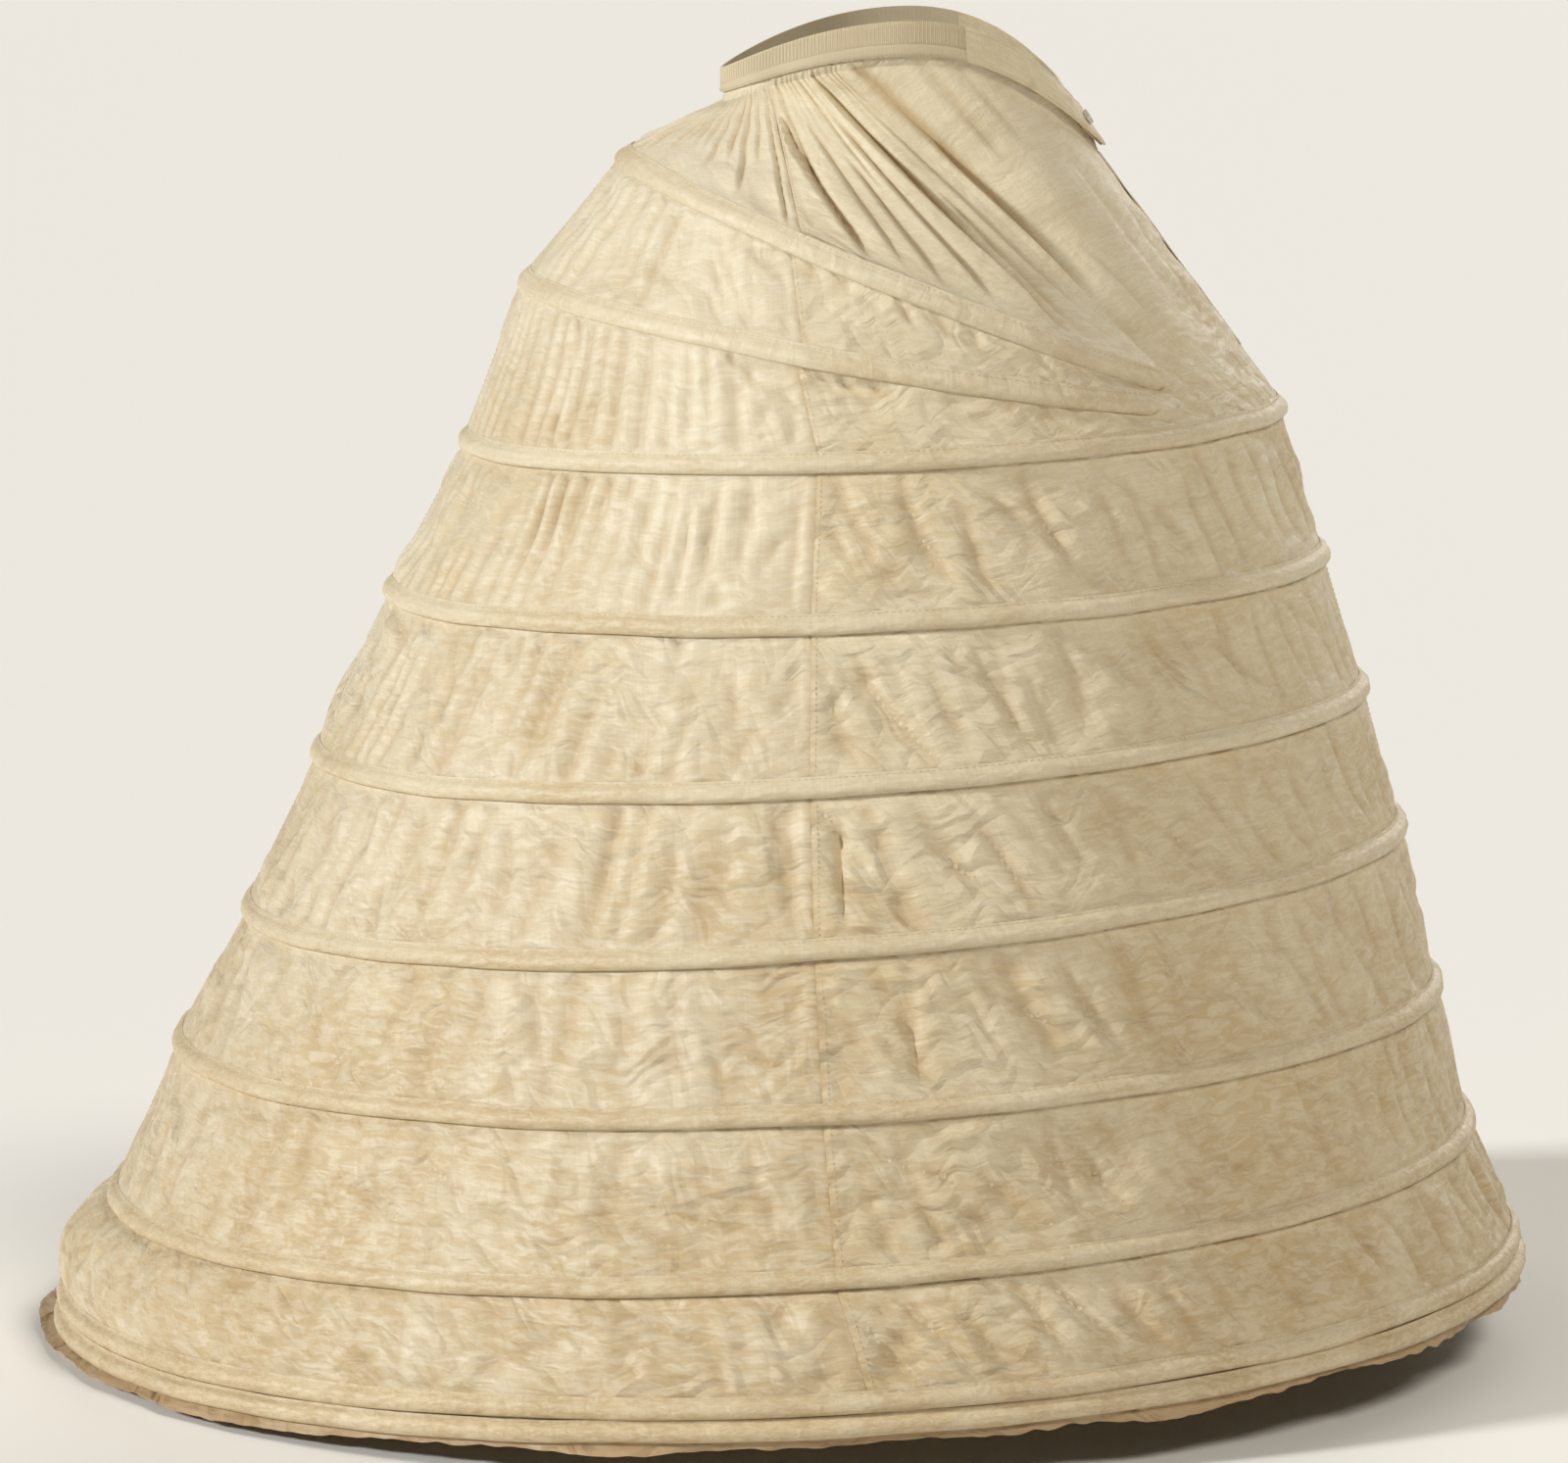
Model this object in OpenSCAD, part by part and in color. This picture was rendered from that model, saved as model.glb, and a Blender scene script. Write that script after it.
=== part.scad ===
// Hooped petticoat of the 1860s: four cotton gores gathered into a waistband,
// eight full spring hoops and two back half hoops, each in a stitched casing.
// Millimetres. Origin at the middle of the waist opening, +X to the front,
// +Y to the wearer's left, +Z up.

/* [Hoops] */
// Outer radius of the upper hem hoop, over its casing
hem_radius = 488; // [440:4:540]
// Outer radius of the top full hoop, over its casing
top_radius = 274; // [250:2:300]
// How far the middle hoops stand out beyond a straight cone
skirt_bell = 7; // [0:1:14]
// Drop from the waist to the top full hoop
top_drop = 242; // [232:1:270]
// Height between one hoop and the next
hoop_pitch = 97; // [80:1:110]
// Height between the last spaced hoop and the upper hem hoop
hem_pitch = 70; // [50:1:90]
// Gap between the casings of the two hem hoops
hem_pair_gap = 1; // [0.5:0.25:5]
// How far behind the waist the top full hoop is centred
top_trail = 22; // [0:1:40]
// How far behind the waist the last spaced hoop is centred
lower_trail = 75; // [40:1:100]
// How far behind the waist the hem hoops are centred
hem_trail = 77; // [40:1:110]
// Mean tilt of the full hoops, front edge up
hoop_tilt = 3; // [1:0.2:5]

/* [Half hoops] */
// How far behind the waist the upper half hoop stands at the back
upper_half_back = 184; // [170:1:200]
// Drop from the waist to the back of the upper half hoop
upper_half_drop = 68; // [55:1:80]
// How far behind the waist the lower half hoop stands at the back
lower_half_back = 249; // [235:1:262]
// Drop from the waist to the back of the lower half hoop
lower_half_drop = 149; // [135:1:160]
// Gap between the casings of the top full hoop and the lower half hoop, at its ends
lower_half_gap = 10.5; // [6:0.5:14]
// Gap between the casings of the two half hoops, at their ends
upper_half_gap = 3.5; // [2:0.5:10]

/* [Casings and steels] */
// Thickness of a casing's folded cloth round the steel
casing_wall = 1.4; // [1:0.1:2]
// Height of the stitched flange above the round part
flange_height = 2.5; // [1.5:0.5:3]
// Thickness of the stitched flange
flange_thick = 1.2; // [0.8:0.1:1.6]
// Height of a braid-covered steel
steel_height = 7; // [5:0.5:8]
// Thickness of a braid-covered steel
steel_thick = 3; // [2.8:0.1:3.6]
// Thickness of the braid that covers the bare spring steel
braid_thick = 0.9; // [0.6:0.1:1.1]
// Length of the crimped clip that joins a hoop's ends
clip_length = 32; // [20:1:45]
// Length of the metal tip on each end of a half hoop
tip_length = 14; // [8:1:20]

/* [Cloth] */
// Thickness of the gathered cloth
cloth_thick = 0.8; // [0.5:0.1:1]
// Depth of the raw edge below the lower hem hoop
raw_edge = 8; // [4:0.5:14]
// Height of the waves in the raw edge
raw_wave = 2.5; // [0:0.5:3]
// How far the raw edge stands out at the back
raw_flare = 10; // [0:1:12]
// Depth of the gathers under the waistband
gather_depth = 2; // [1:0.2:3]
// Depth of the folds that fan out below the gathers
fold_depth = 5; // [2:0.5:8]
// Depth of the puckers between two hoops
pucker_depth = 2.6; // [0:0.2:4]
// How far the cloth puffs out between two hoops at the back
cloth_puff = 0.5; // [0:0.5:8]
// How far the cloth puffs out above the hem hoops at the back
hem_puff = 10; // [0:0.5:14]

/* [Waist] */
// Waist opening from front to back, at the band's lower edge
waist_depth = 253; // [240:1:265]
// Waist opening from side to side
waist_width = 206; // [196:1:216]
// How far the waist's middle lies ahead of the origin
waist_lead = 4.5; // [0:0.5:8]
// Height of the band's upper edge at the sides
waist_rise = 26; // [20:1:30]
// How far the upper edge dips to the front
front_dip = 56; // [40:1:60]
// How far the upper edge dips to the back
back_dip = 35; // [25:1:40]
// Height of the band at the sides
band_height = 22.5; // [18:0.5:28]
// Height of the band at the centre front
front_band_height = 30; // [24:0.5:36]
// Height of the band at the centre back
back_band_height = 16; // [14:0.5:22]
// How far the band's lower edge stands out at the front
front_flare = 20; // [10:1:24]
// Thickness of the band
band_thick = 1.6; // [1.2:0.1:2]
// How far the gathered cloth is tucked up behind the band
tuck_height = 8; // [6:0.5:10]

/* [Front opening] */
// Diameter of the button
button_diameter = 10; // [8:0.5:12]
// Thickness of the button
button_thick = 2.2; // [1.6:0.1:3]
// Thickness of the button's sewing thread
thread_diameter = 1.4; // [1:0.1:1.6]
// Length of the buttonhole
buttonhole_length = 12; // [11:0.5:14]
// Width of the placket's hem
placket_hem_width = 13; // [8:0.5:18]
// Width of the placket's underlap behind the hem
placket_underlap_width = 15; // [8:0.5:18]
// Width of the underlap's sewn edge on the other side of the opening
placket_seam_width = 8; // [5:0.5:12]

/* [Fits] */
// Gap between a casing and the cloth behind it
casing_gap = 0.3; // [0.2:0.05:0.5]
// Gap round a steel in its casing
steel_gap = 0.6; // [0.5:0.05:0.9]
// Gap round the bare steel in a clip or tip
clip_gap = 0.1; // [0.05:0.05:0.2]
// Gap between the two ends of a hoop
butt_gap = 1; // [0.5:0.1:2]
// Gap between two gores along a seam
seam_gap = 0.3; // [0.2:0.05:0.5]
// Gap between the band and the cloth tucked behind it
band_gap = 0.6; // [0.4:0.05:0.8]
// Gap between the button and the band
button_gap = 0.4; // [0.3:0.05:0.6]

/* [Hidden] */
hoop_count = 8;
spaced_hoops = 6;
oval_sides = 12;
$fn = 96;

// Angles run from the centre front, and are the same on both sides.
side_seam_waist = 139;
side_seam_upper_half = 117;
side_seam_lower_half = 105;
side_seam_top = 98;
side_seam_hem = 82;
clip_angle = 142;
tape_join_angle = 75;
lap_angle = 2;
underlap_angle = -27;
underlap_start = 30;
underlap_full = 14;
button_angle = -16;
band_step = 5;
stitched_end = 6;

// Columns of cloth in each gore. Column 0 is the centre front, column
// gore_columns the side seam and 2 * gore_columns the centre back.
gore_columns = 20;
upper_half_column = 8;
lower_half_column = 9;
fan_column = 8.5;
fan_angle = 112;
smooth_columns = 2;
root_drop = 6;
fold_variation = 77;
wave_variation = 61;

// Small differences in how the hoops down to the upper hem hoop hang, in degrees.
hoop_sway = [-0.6, -0.7, 0.7, 1.2, -0.3, 0.1, -0.6];

wall_slope = atan((hem_radius - top_radius) / ((spaced_hoops - 1) * hoop_pitch + hem_pitch));
hem_slope = wall_slope / 2;
half_slope = 26;
gather_slope = 32;

core_height = steel_height - 2 * braid_thick;
core_thick = steel_thick - 2 * braid_thick;
bulb_height = steel_height + 2 * (steel_gap + casing_wall);
bulb_depth = steel_thick + 2 * (steel_gap + casing_wall);
casing_top = bulb_height / 2 + flange_height;
casing_bottom = -bulb_height / 2;
casing_height = casing_top - casing_bottom;
hem_pair_pitch = casing_height + hem_pair_gap;
lower_half_rise = casing_height + lower_half_gap;
upper_half_rise = lower_half_rise + casing_height + upper_half_gap;
band_inset = band_thick + band_gap;
placket_stop = 0.2;

function mix(a, b, t) = a + (b - a) * t;
function limit(t) = min(1, max(0, t));
function unit(v) = v / norm(v);

// A hoop's frame: [centre x, centre z, tilt, radius of the cloth's face, slope of the cloth].
function cloth_radius(outer, slope) =
    outer - bulb_depth / 2 * (1 + cos(slope)) - (bulb_height - bulb_depth) / 2 * sin(slope);

function spaced_radius(share) =
    mix(top_radius, hem_radius, share) + skirt_bell * 4 * share * (1 - share);

function spaced_frame(i) =
    [
        -mix(top_trail, lower_trail, (i - 1) / (spaced_hoops - 1)),
        -top_drop - (i - 1) * hoop_pitch,
        hoop_tilt + hoop_sway[i - 1],
        cloth_radius(spaced_radius((i - 1) / spaced_hoops), wall_slope),
        wall_slope
    ];

upper_hem_tilt = hoop_tilt + hoop_sway[spaced_hoops];
upper_hem_frame =
    [
        -hem_trail,
        -top_drop - (spaced_hoops - 1) * hoop_pitch - hem_pitch,
        upper_hem_tilt,
        cloth_radius(hem_radius, hem_slope),
        hem_slope
    ];
hem_pair_drop = hem_pair_pitch * cos(hem_slope);
lower_hem_frame =
    upper_hem_frame
    + [
        hem_pair_drop * sin(upper_hem_tilt),
        -hem_pair_drop * cos(upper_hem_tilt),
        0,
        hem_pair_pitch * sin(hem_slope),
        0
    ];

function full_frame(i) =
    i == hoop_count ? lower_hem_frame :
    i == hoop_count - 1 ? upper_hem_frame :
    spaced_frame(i);

// A point beside a hoop: out from the cloth's face, up the cloth, and round by an angle.
function beside(frame, out, up, angle) =
    let (
        r = frame[3] + out * cos(frame[4]) - up * sin(frame[4]),
        h = out * sin(frame[4]) + up * cos(frame[4])
    )
    [
        frame[0] + r * cos(angle) * cos(frame[2]) - h * sin(frame[2]),
        r * sin(angle),
        frame[1] + r * cos(angle) * sin(frame[2]) + h * cos(frame[2])
    ];

// Angle of a cloth column on a hoop, where the side seam lies at the given angle.
function column_angle(column, seam) =
    column <= gore_columns ?
        seam * column / gore_columns :
        mix(seam, 180, column / gore_columns - 1);

function seam_angle(i) = mix(side_seam_top, side_seam_hem, (i - 1) / (hoop_count - 1));
function full_angle(i, column) = column_angle(column, seam_angle(i));

// Angle of a cloth column at the waist: wide and smooth in front, gathered behind.
function waist_angle(column) =
    column <= fan_column ? fan_angle * column / fan_column :
    column <= gore_columns ?
        mix(fan_angle, side_seam_waist, (column - fan_column) / (gore_columns - fan_column)) :
        mix(side_seam_waist, 180, column / gore_columns - 1);

// The waistband's face: share 0 is its lower edge and 1 its upper edge.
function band_dip(angle) = (cos(angle) > 0 ? front_dip : back_dip) * pow(cos(angle), 2);
function band_drop(angle) =
    mix(band_height, cos(angle) > 0 ? front_band_height : back_band_height, pow(cos(angle), 2));
function band_out(angle) =
    unit([cos(angle) / waist_depth, sin(angle) / waist_width, 0]);
function band_face(angle, share) =
    [
        waist_lead + waist_depth / 2 * cos(angle)
            - (cos(angle) > 0 ? share * front_flare * pow(cos(angle), 2) : 0),
        waist_width / 2 * sin(angle),
        waist_rise - band_dip(angle) - band_drop(angle) * (1 - share)
    ];
function band_point(angle, share, depth) = band_face(angle, share) - depth * band_out(angle);

// How deep the cloth lies behind the band's face: deeper in front, where the band laps.
function tuck_depth(column) =
    band_inset * (2 - limit((waist_angle(column) - fan_angle / 2) / (fan_angle / 4)));

// The cloth's folds: every second column stands out, and the next one in.
function fold(column) =
    (column % 2 == 0 ? 1 : -1) * (0.75 + 0.25 * sin(column * fold_variation));
function fullness(column) = limit((column - smooth_columns) / (fan_column - smooth_columns));

function gather_inset(column) =
    gather_depth * fullness(column) * (1 - fold(column));
function root(column) =
    band_point(waist_angle(column), 0, tuck_depth(column)) - [0, 0, root_drop];
function skin_out(angle, slope) =
    [cos(angle) * cos(slope), sin(angle) * cos(slope), sin(slope)];

top_frame = full_frame(1);
function top_edge(column) = beside(top_frame, -casing_gap, casing_top, full_angle(1, column));
function up_the_front(column, distance) =
    let (foot = top_edge(column))
    foot + unit(root(column) - foot) * distance;

// A half hoop's frame: the circle through its back and its two ends.
function half_frame(back, drop, rise, column) =
    let (
        end = up_the_front(column, rise - casing_top),
        run = norm([end[0] + back, end[2] + drop]),
        tilt = atan2(end[2] + drop, end[0] + back),
        r = (run * run + end[1] * end[1]) / (2 * run)
    )
    [-back + r * cos(tilt), -drop + r * sin(tilt), tilt, r, half_slope, atan2(end[1], run - r)];

upper_half_frame =
    half_frame(upper_half_back, upper_half_drop, upper_half_rise, upper_half_column);
lower_half_frame =
    half_frame(lower_half_back, lower_half_drop, lower_half_rise, lower_half_column);

function half_angle(frame, first, seam, column) =
    column <= gore_columns ?
        mix(frame[5], seam, (column - first) / (gore_columns - first)) :
        mix(seam, 180, column / gore_columns - 1);

// A row of cloth at a half hoop, carried across the front by the smooth cloth there.
function half_row(frame, first, seam, rise, up, column) =
    column < first ?
        up_the_front(column, rise - casing_top + up) :
        beside(frame, -casing_gap, up, half_angle(frame, first, seam, column));

function upper_half_row(up, column) =
    half_row(upper_half_frame, upper_half_column, side_seam_upper_half, upper_half_rise, up, column);
function lower_half_row(up, column) =
    half_row(lower_half_frame, lower_half_column, side_seam_lower_half, lower_half_rise, up, column);

// Each entry of a cloth row is [point on the outer face, outward direction].
function tuck_row(column) =
    let (angle = waist_angle(column), out = band_out(angle), share = tuck_height / band_drop(angle))
    [band_point(angle, share, tuck_depth(column) + gather_inset(column)), out];

function root_row(column) =
    let (out = band_out(waist_angle(column)))
    [root(column) - out * gather_inset(column), out];

function fan_row(column, share) =
    let (
        out = skin_out(mix(full_angle(1, column), waist_angle(column), share), gather_slope),
        depth = fold_depth * fullness(column) * fold(column)
    )
    [mix(upper_half_row(casing_top, column), root(column), share) + depth * out, out];

function held_row(point, angle, slope) = [point, skin_out(angle, slope)];

function upper_half_cloth(up, column) =
    held_row(upper_half_row(up, column), full_angle(1, column), gather_slope);
function lower_half_cloth(up, column) =
    held_row(lower_half_row(up, column), full_angle(1, column), gather_slope);
function hoop_cloth(i, up, column) =
    held_row(beside(full_frame(i), -casing_gap, up, full_angle(i, column)),
        full_angle(i, column), full_frame(i)[4]);

function back_share(column) = column / (2 * gore_columns);

function between(above, below, column, puff) =
    let (
        out = unit(above[1] + below[1]),
        pucker = pucker_depth * fullness(column) * fold(column)
    )
    [(above[0] + below[0]) / 2 + out * (pucker + puff), out];

function band_between(i, column) =
    between(hoop_cloth(i - 1, casing_bottom, column), hoop_cloth(i, casing_top, column), column,
        i > spaced_hoops ? hem_puff * pow(back_share(column), 2) : cloth_puff * back_share(column));

function hem_row(column) =
    let (
        wave = raw_wave * sin(column * wave_variation),
        edge = hoop_cloth(hoop_count, casing_bottom - raw_edge + wave, column)
    )
    [edge[0] + raw_flare * pow(back_share(column), 3) * edge[1], edge[1]];

function column_rows(column) =
    concat(
        [
            tuck_row(column),
            root_row(column),
            fan_row(column, 0.68),
            fan_row(column, 0.35),
            upper_half_cloth(casing_top, column),
            upper_half_cloth(casing_bottom, column),
            between(upper_half_cloth(casing_bottom, column), lower_half_cloth(casing_top, column), column,
                cloth_puff * back_share(column)),
            lower_half_cloth(casing_top, column),
            lower_half_cloth(casing_bottom, column),
            between(lower_half_cloth(casing_bottom, column), hoop_cloth(1, casing_top, column), column,
                cloth_puff * back_share(column)),
            hoop_cloth(1, casing_top, column),
            hoop_cloth(1, casing_bottom, column)
        ],
        [
            for (i = [2 : spaced_hoops + 1])
                each [
                    band_between(i, column),
                    hoop_cloth(i, casing_top, column),
                    hoop_cloth(i, casing_bottom, column)
                ]
        ],
        [
            hoop_cloth(hoop_count, casing_bottom, column),
            hem_row(column)
        ]
    );

// Closed thin sheet between two equal grids of points, front and back.
module thin_sheet(front, back) {
    columns = len(front);
    rows = len(front[0]);
    size = columns * rows;
    points = [for (grid = [front, back]) for (column = grid) each column];
    function at(c, r) = c * rows + r;
    function quad(a, b, c, d) = [[a, b, c], [a, c, d]];
    faces = concat(
        [
            for (c = [0 : columns - 2])
                for (r = [0 : rows - 2])
                    each quad(at(c, r), at(c, r + 1), at(c + 1, r + 1), at(c + 1, r))
        ],
        [
            for (c = [0 : columns - 2])
                for (r = [0 : rows - 2])
                    each quad(size + at(c, r), size + at(c + 1, r), size + at(c + 1, r + 1), size + at(c, r + 1))
        ],
        [
            for (c = [0 : columns - 2])
                each concat(
                    quad(at(c, 0), at(c + 1, 0), size + at(c + 1, 0), size + at(c, 0)),
                    quad(at(c + 1, rows - 1), at(c, rows - 1), size + at(c, rows - 1), size + at(c + 1, rows - 1))
                )
        ],
        [
            for (r = [0 : rows - 2])
                each concat(
                    quad(at(0, r + 1), at(0, r), size + at(0, r), size + at(0, r + 1)),
                    quad(at(columns - 1, r), at(columns - 1, r + 1),
                        size + at(columns - 1, r + 1), size + at(columns - 1, r))
                )
        ]
    );
    polyhedron(points = points, faces = [for (face = faces) [face[2], face[1], face[0]]], convexity = 12);
}

// A gore of cloth on the wearer's left, from one column to another.
module gore(first, last) {
    rows = [
        for (column = [first : last])
            let (turn = column == first ? 1 : column == last ? -1 : 0)
            [
                for (entry = column_rows(column))
                    let (aside = unit([-entry[1][1], entry[1][0], 0]) * turn * seam_gap / 2)
                    [entry[0] + aside, entry[0] + aside - entry[1] * cloth_thick]
            ]
    ];
    thin_sheet(
        [for (column = rows) [for (entry = column) entry[0]]],
        [for (column = rows) [for (entry = column) entry[1]]]
    );
}

module front_left_gore() {
    color("antiquewhite") gore(0, gore_columns);
}

module front_right_gore() {
    color("antiquewhite") mirror([0, 1, 0]) gore(0, gore_columns);
}

module back_left_gore() {
    color("linen") gore(gore_columns, 2 * gore_columns);
}

module back_right_gore() {
    color("linen") mirror([0, 1, 0]) gore(gore_columns, 2 * gore_columns);
}

// A length of waistband between two angles, set in by a depth that may change along it.
module band(from, to, inset) {
    count = ceil((to - from) / band_step);
    angles = [for (k = [0 : count]) mix(from, to, k / count)];
    thin_sheet(
        [for (angle = angles) [for (share = [1, 0]) band_point(angle, share, inset(angle))]],
        [for (angle = angles) [for (share = [1, 0]) band_point(angle, share, inset(angle) + band_thick)]]
    );
}

join_turn = seam_gap / waist_width * 180 / PI;

module back_waistband() {
    color("wheat") band(tape_join_angle + join_turn, 360 - tape_join_angle - join_turn, function (angle) 0);
}

module right_waistband() {
    color("antiquewhite")
        difference() {
            band(-tape_join_angle, lap_angle, function (angle) 0);
            on_band(-band_thick * 2)
                translate([-thread_diameter, -buttonhole_length / 2, 0])
                    cube([thread_diameter * 2, buttonhole_length, band_thick * 4]);
        }
}

module left_waistband() {
    lap = function (angle)
        band_inset * limit((underlap_start - angle) / (underlap_start - underlap_full));
    color("antiquewhite") band(underlap_angle, tape_join_angle, lap);
}

// The direction square to the band's face at the button.
button_out =
    unit(cross(
        band_face(button_angle + 1, 0.5) - band_face(button_angle - 1, 0.5),
        band_face(button_angle, 1) - band_face(button_angle, 0)
    ));

// Stands its children on the right band's face at the button, at a height above the face.
module on_band(height) {
    translate(band_face(button_angle, 0.5))
        rotate([0, acos(button_out[2]), atan2(button_out[1], button_out[0])])
            translate([0, 0, height])
                children();
}

module button() {
    rim = button_thick / 3;
    hole_offset = button_diameter / 8;
    color("ivory")
        on_band(button_gap)
            difference() {
                cylinder(d = button_diameter, h = button_thick);
                translate([0, 0, button_thick - rim])
                    cylinder(d1 = button_diameter * 0.6, d2 = button_diameter * 0.8, h = rim * 2);
                for (x = [-1, 1])
                    for (y = [-1, 1])
                        translate([x * hole_offset, y * hole_offset, -rim])
                            cylinder(d = button_diameter / 10, h = button_thick + rim * 2);
            }
}

module button_thread() {
    thread_length = band_inset * (band_out(button_angle) * button_out) - button_gap;
    color("white")
        on_band(-thread_length)
            cylinder(d = thread_diameter, h = thread_length);
}

// A point by the front opening: a share of the way up it, across to the wearer's left, and out.
function opening_point(share, across, out) =
    let (
        edge = mix(top_edge(0), root(0), share),
        aside = unit(mix(top_edge(1), root(1), share) - edge),
        face = unit(cross(aside, root(0) - top_edge(0))),
        side = sign(across)
    )
    edge
    + abs(across) * [aside[0], side * aside[1], aside[2]]
    + out * unit([face[0], side * face[1], face[2]]);

// A strip along the front opening, through the given distances across it.
module opening_strip(across, out) {
    function column(a, depth) = [for (share = [1, placket_stop]) opening_point(share, a, out - depth)];
    thin_sheet(
        [for (a = across) column(a, 0)],
        [for (a = across) column(a, cloth_thick)]
    );
}

module placket_hem() {
    edge = seam_gap / 2;
    color("antiquewhite")
        opening_strip([-placket_hem_width - edge, -edge], casing_gap + cloth_thick);
}

module placket_underlap() {
    color("antiquewhite")
        opening_strip([-placket_underlap_width, 0, placket_seam_width], -cloth_thick - casing_gap);
}

// Section shapes: x is out from the cloth, y is up the cloth.
module upright_oval(height, depth) {
    straight = height - depth;
    square([depth, straight], center = true);
    for (end = [-1, 1])
        translate([0, end * straight / 2])
            circle(d = depth, $fn = oval_sides);
}

module casing_section() {
    shoulder = (bulb_height - bulb_depth) / 2;
    translate([bulb_depth / 2, 0])
        upright_oval(bulb_height, bulb_depth);
    polygon([
        [0, 0],
        [bulb_depth, shoulder],
        [flange_thick, casing_top],
        [0, casing_top]
    ]);
}

module steel_section(grow) {
    translate([bulb_depth / 2, 0])
        upright_oval(steel_height + 2 * grow, steel_thick + 2 * grow);
}

module core_section(grow) {
    translate([bulb_depth / 2, 0])
        square([core_thick + 2 * grow, core_height + 2 * grow], center = true);
}

// Sweeps a section round a hoop, from one angle through a turn.
module sweep_round(frame, from, turn) {
    translate([frame[0], 0, frame[1]])
        rotate([0, -frame[2], 0])
            rotate([0, 0, from])
                rotate_extrude(angle = turn)
                    translate([frame[3], 0])
                        rotate(frame[4])
                            children();
}

// The angle that a length takes round a hoop.
function turn_of(frame, length) = length / (frame[3] + bulb_depth / 2) * 180 / PI;

module hoop_casing(i) {
    frame = full_frame(i);
    color("antiquewhite")
        sweep_round(frame, 0, 360)
            difference() {
                casing_section();
                steel_section(steel_gap);
            }
}

module hoop_steel(i) {
    frame = full_frame(i);
    clip_turn = turn_of(frame, clip_length);
    butt_turn = turn_of(frame, butt_gap);
    color("lightsteelblue") {
        sweep_round(frame, clip_angle + clip_turn / 2, 360 - clip_turn)
            steel_section(0);
        sweep_round(frame, clip_angle + butt_turn / 2, 360 - butt_turn)
            core_section(0);
    }
}

module hoop_clip(i) {
    frame = full_frame(i);
    clip_turn = turn_of(frame, clip_length - 2 * clip_gap);
    color("silver")
        sweep_round(frame, clip_angle - clip_turn / 2, clip_turn)
            difference() {
                steel_section(0);
                core_section(clip_gap);
            }
}

module half_casing(frame) {
    end_turn = turn_of(frame, stitched_end);
    from = frame[5];
    turn = 360 - 2 * from;
    color("antiquewhite")
        difference() {
            sweep_round(frame, from, turn)
                casing_section();
            sweep_round(frame, from + end_turn, turn - 2 * end_turn)
                steel_section(steel_gap);
        }
}

module half_steel(frame) {
    end_turn = turn_of(frame, stitched_end + steel_gap);
    tip_turn = turn_of(frame, tip_length);
    wall_turn = turn_of(frame, core_thick + clip_gap);
    bare_from = frame[5] + end_turn + wall_turn;
    from = frame[5] + end_turn + tip_turn;
    color("lightsteelblue") {
        sweep_round(frame, from, 360 - 2 * from)
            steel_section(0);
        sweep_round(frame, bare_from, 360 - 2 * bare_from)
            core_section(0);
    }
}

module half_tips(frame) {
    end_turn = turn_of(frame, stitched_end + steel_gap);
    tip_turn = turn_of(frame, tip_length - clip_gap);
    wall_turn = turn_of(frame, core_thick);
    from = frame[5] + end_turn;
    color("silver")
        for (side = [0, 1])
            mirror([0, side, 0])
                difference() {
                    sweep_round(frame, from, tip_turn)
                        steel_section(0);
                    sweep_round(frame, from + wall_turn, tip_turn)
                        core_section(clip_gap);
                }
}

hoop_numbers = [1 : hoop_count];
half_names = ["upper", "lower"];
half_frames = [upper_half_frame, lower_half_frame];

front_right_gore();
front_left_gore();
back_right_gore();
back_left_gore();
back_waistband();
right_waistband();
left_waistband();
placket_hem();
placket_underlap();
button();
button_thread();
for (i = hoop_numbers) {
    hoop_casing(i);
    hoop_steel(i);
    hoop_clip(i);
}
for (k = [0, 1]) {
    half_casing(half_frames[k]);
    half_steel(half_frames[k]);
    half_tips(half_frames[k]);
}
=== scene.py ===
import math

import bpy
import numpy as np
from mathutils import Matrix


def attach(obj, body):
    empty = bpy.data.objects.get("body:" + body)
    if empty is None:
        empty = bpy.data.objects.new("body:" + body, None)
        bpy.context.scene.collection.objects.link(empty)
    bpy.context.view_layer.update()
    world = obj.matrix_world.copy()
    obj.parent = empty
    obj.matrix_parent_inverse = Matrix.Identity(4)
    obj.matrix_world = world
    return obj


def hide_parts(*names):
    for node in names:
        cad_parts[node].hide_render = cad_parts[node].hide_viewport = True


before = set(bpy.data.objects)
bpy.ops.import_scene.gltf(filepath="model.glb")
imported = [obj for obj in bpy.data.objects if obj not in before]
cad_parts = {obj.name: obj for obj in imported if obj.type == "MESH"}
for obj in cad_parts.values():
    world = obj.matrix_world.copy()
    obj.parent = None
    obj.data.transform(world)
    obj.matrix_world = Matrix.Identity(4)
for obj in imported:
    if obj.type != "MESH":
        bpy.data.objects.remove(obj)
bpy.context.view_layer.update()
scene = bpy.context.scene
scene.view_settings.view_transform = "Standard"
mm = 0.001
print("frame loaded")

# Camera at the photograph's angle
view = dict(place=(-0.08, -5.289, 0.285), pitch=7.89, lens=185.3, sensor=36)
cameraData = bpy.data.cameras.new("photoCamera")
cameraData.lens = view["lens"]
cameraData.sensor_width = view["sensor"]
camera = bpy.data.objects.new("photoCamera", cameraData)
camera.location = view["place"]
camera.rotation_euler = (math.radians(90 - view["pitch"]), 0, 0)
scene.collection.objects.link(camera)
scene.camera = camera

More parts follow.
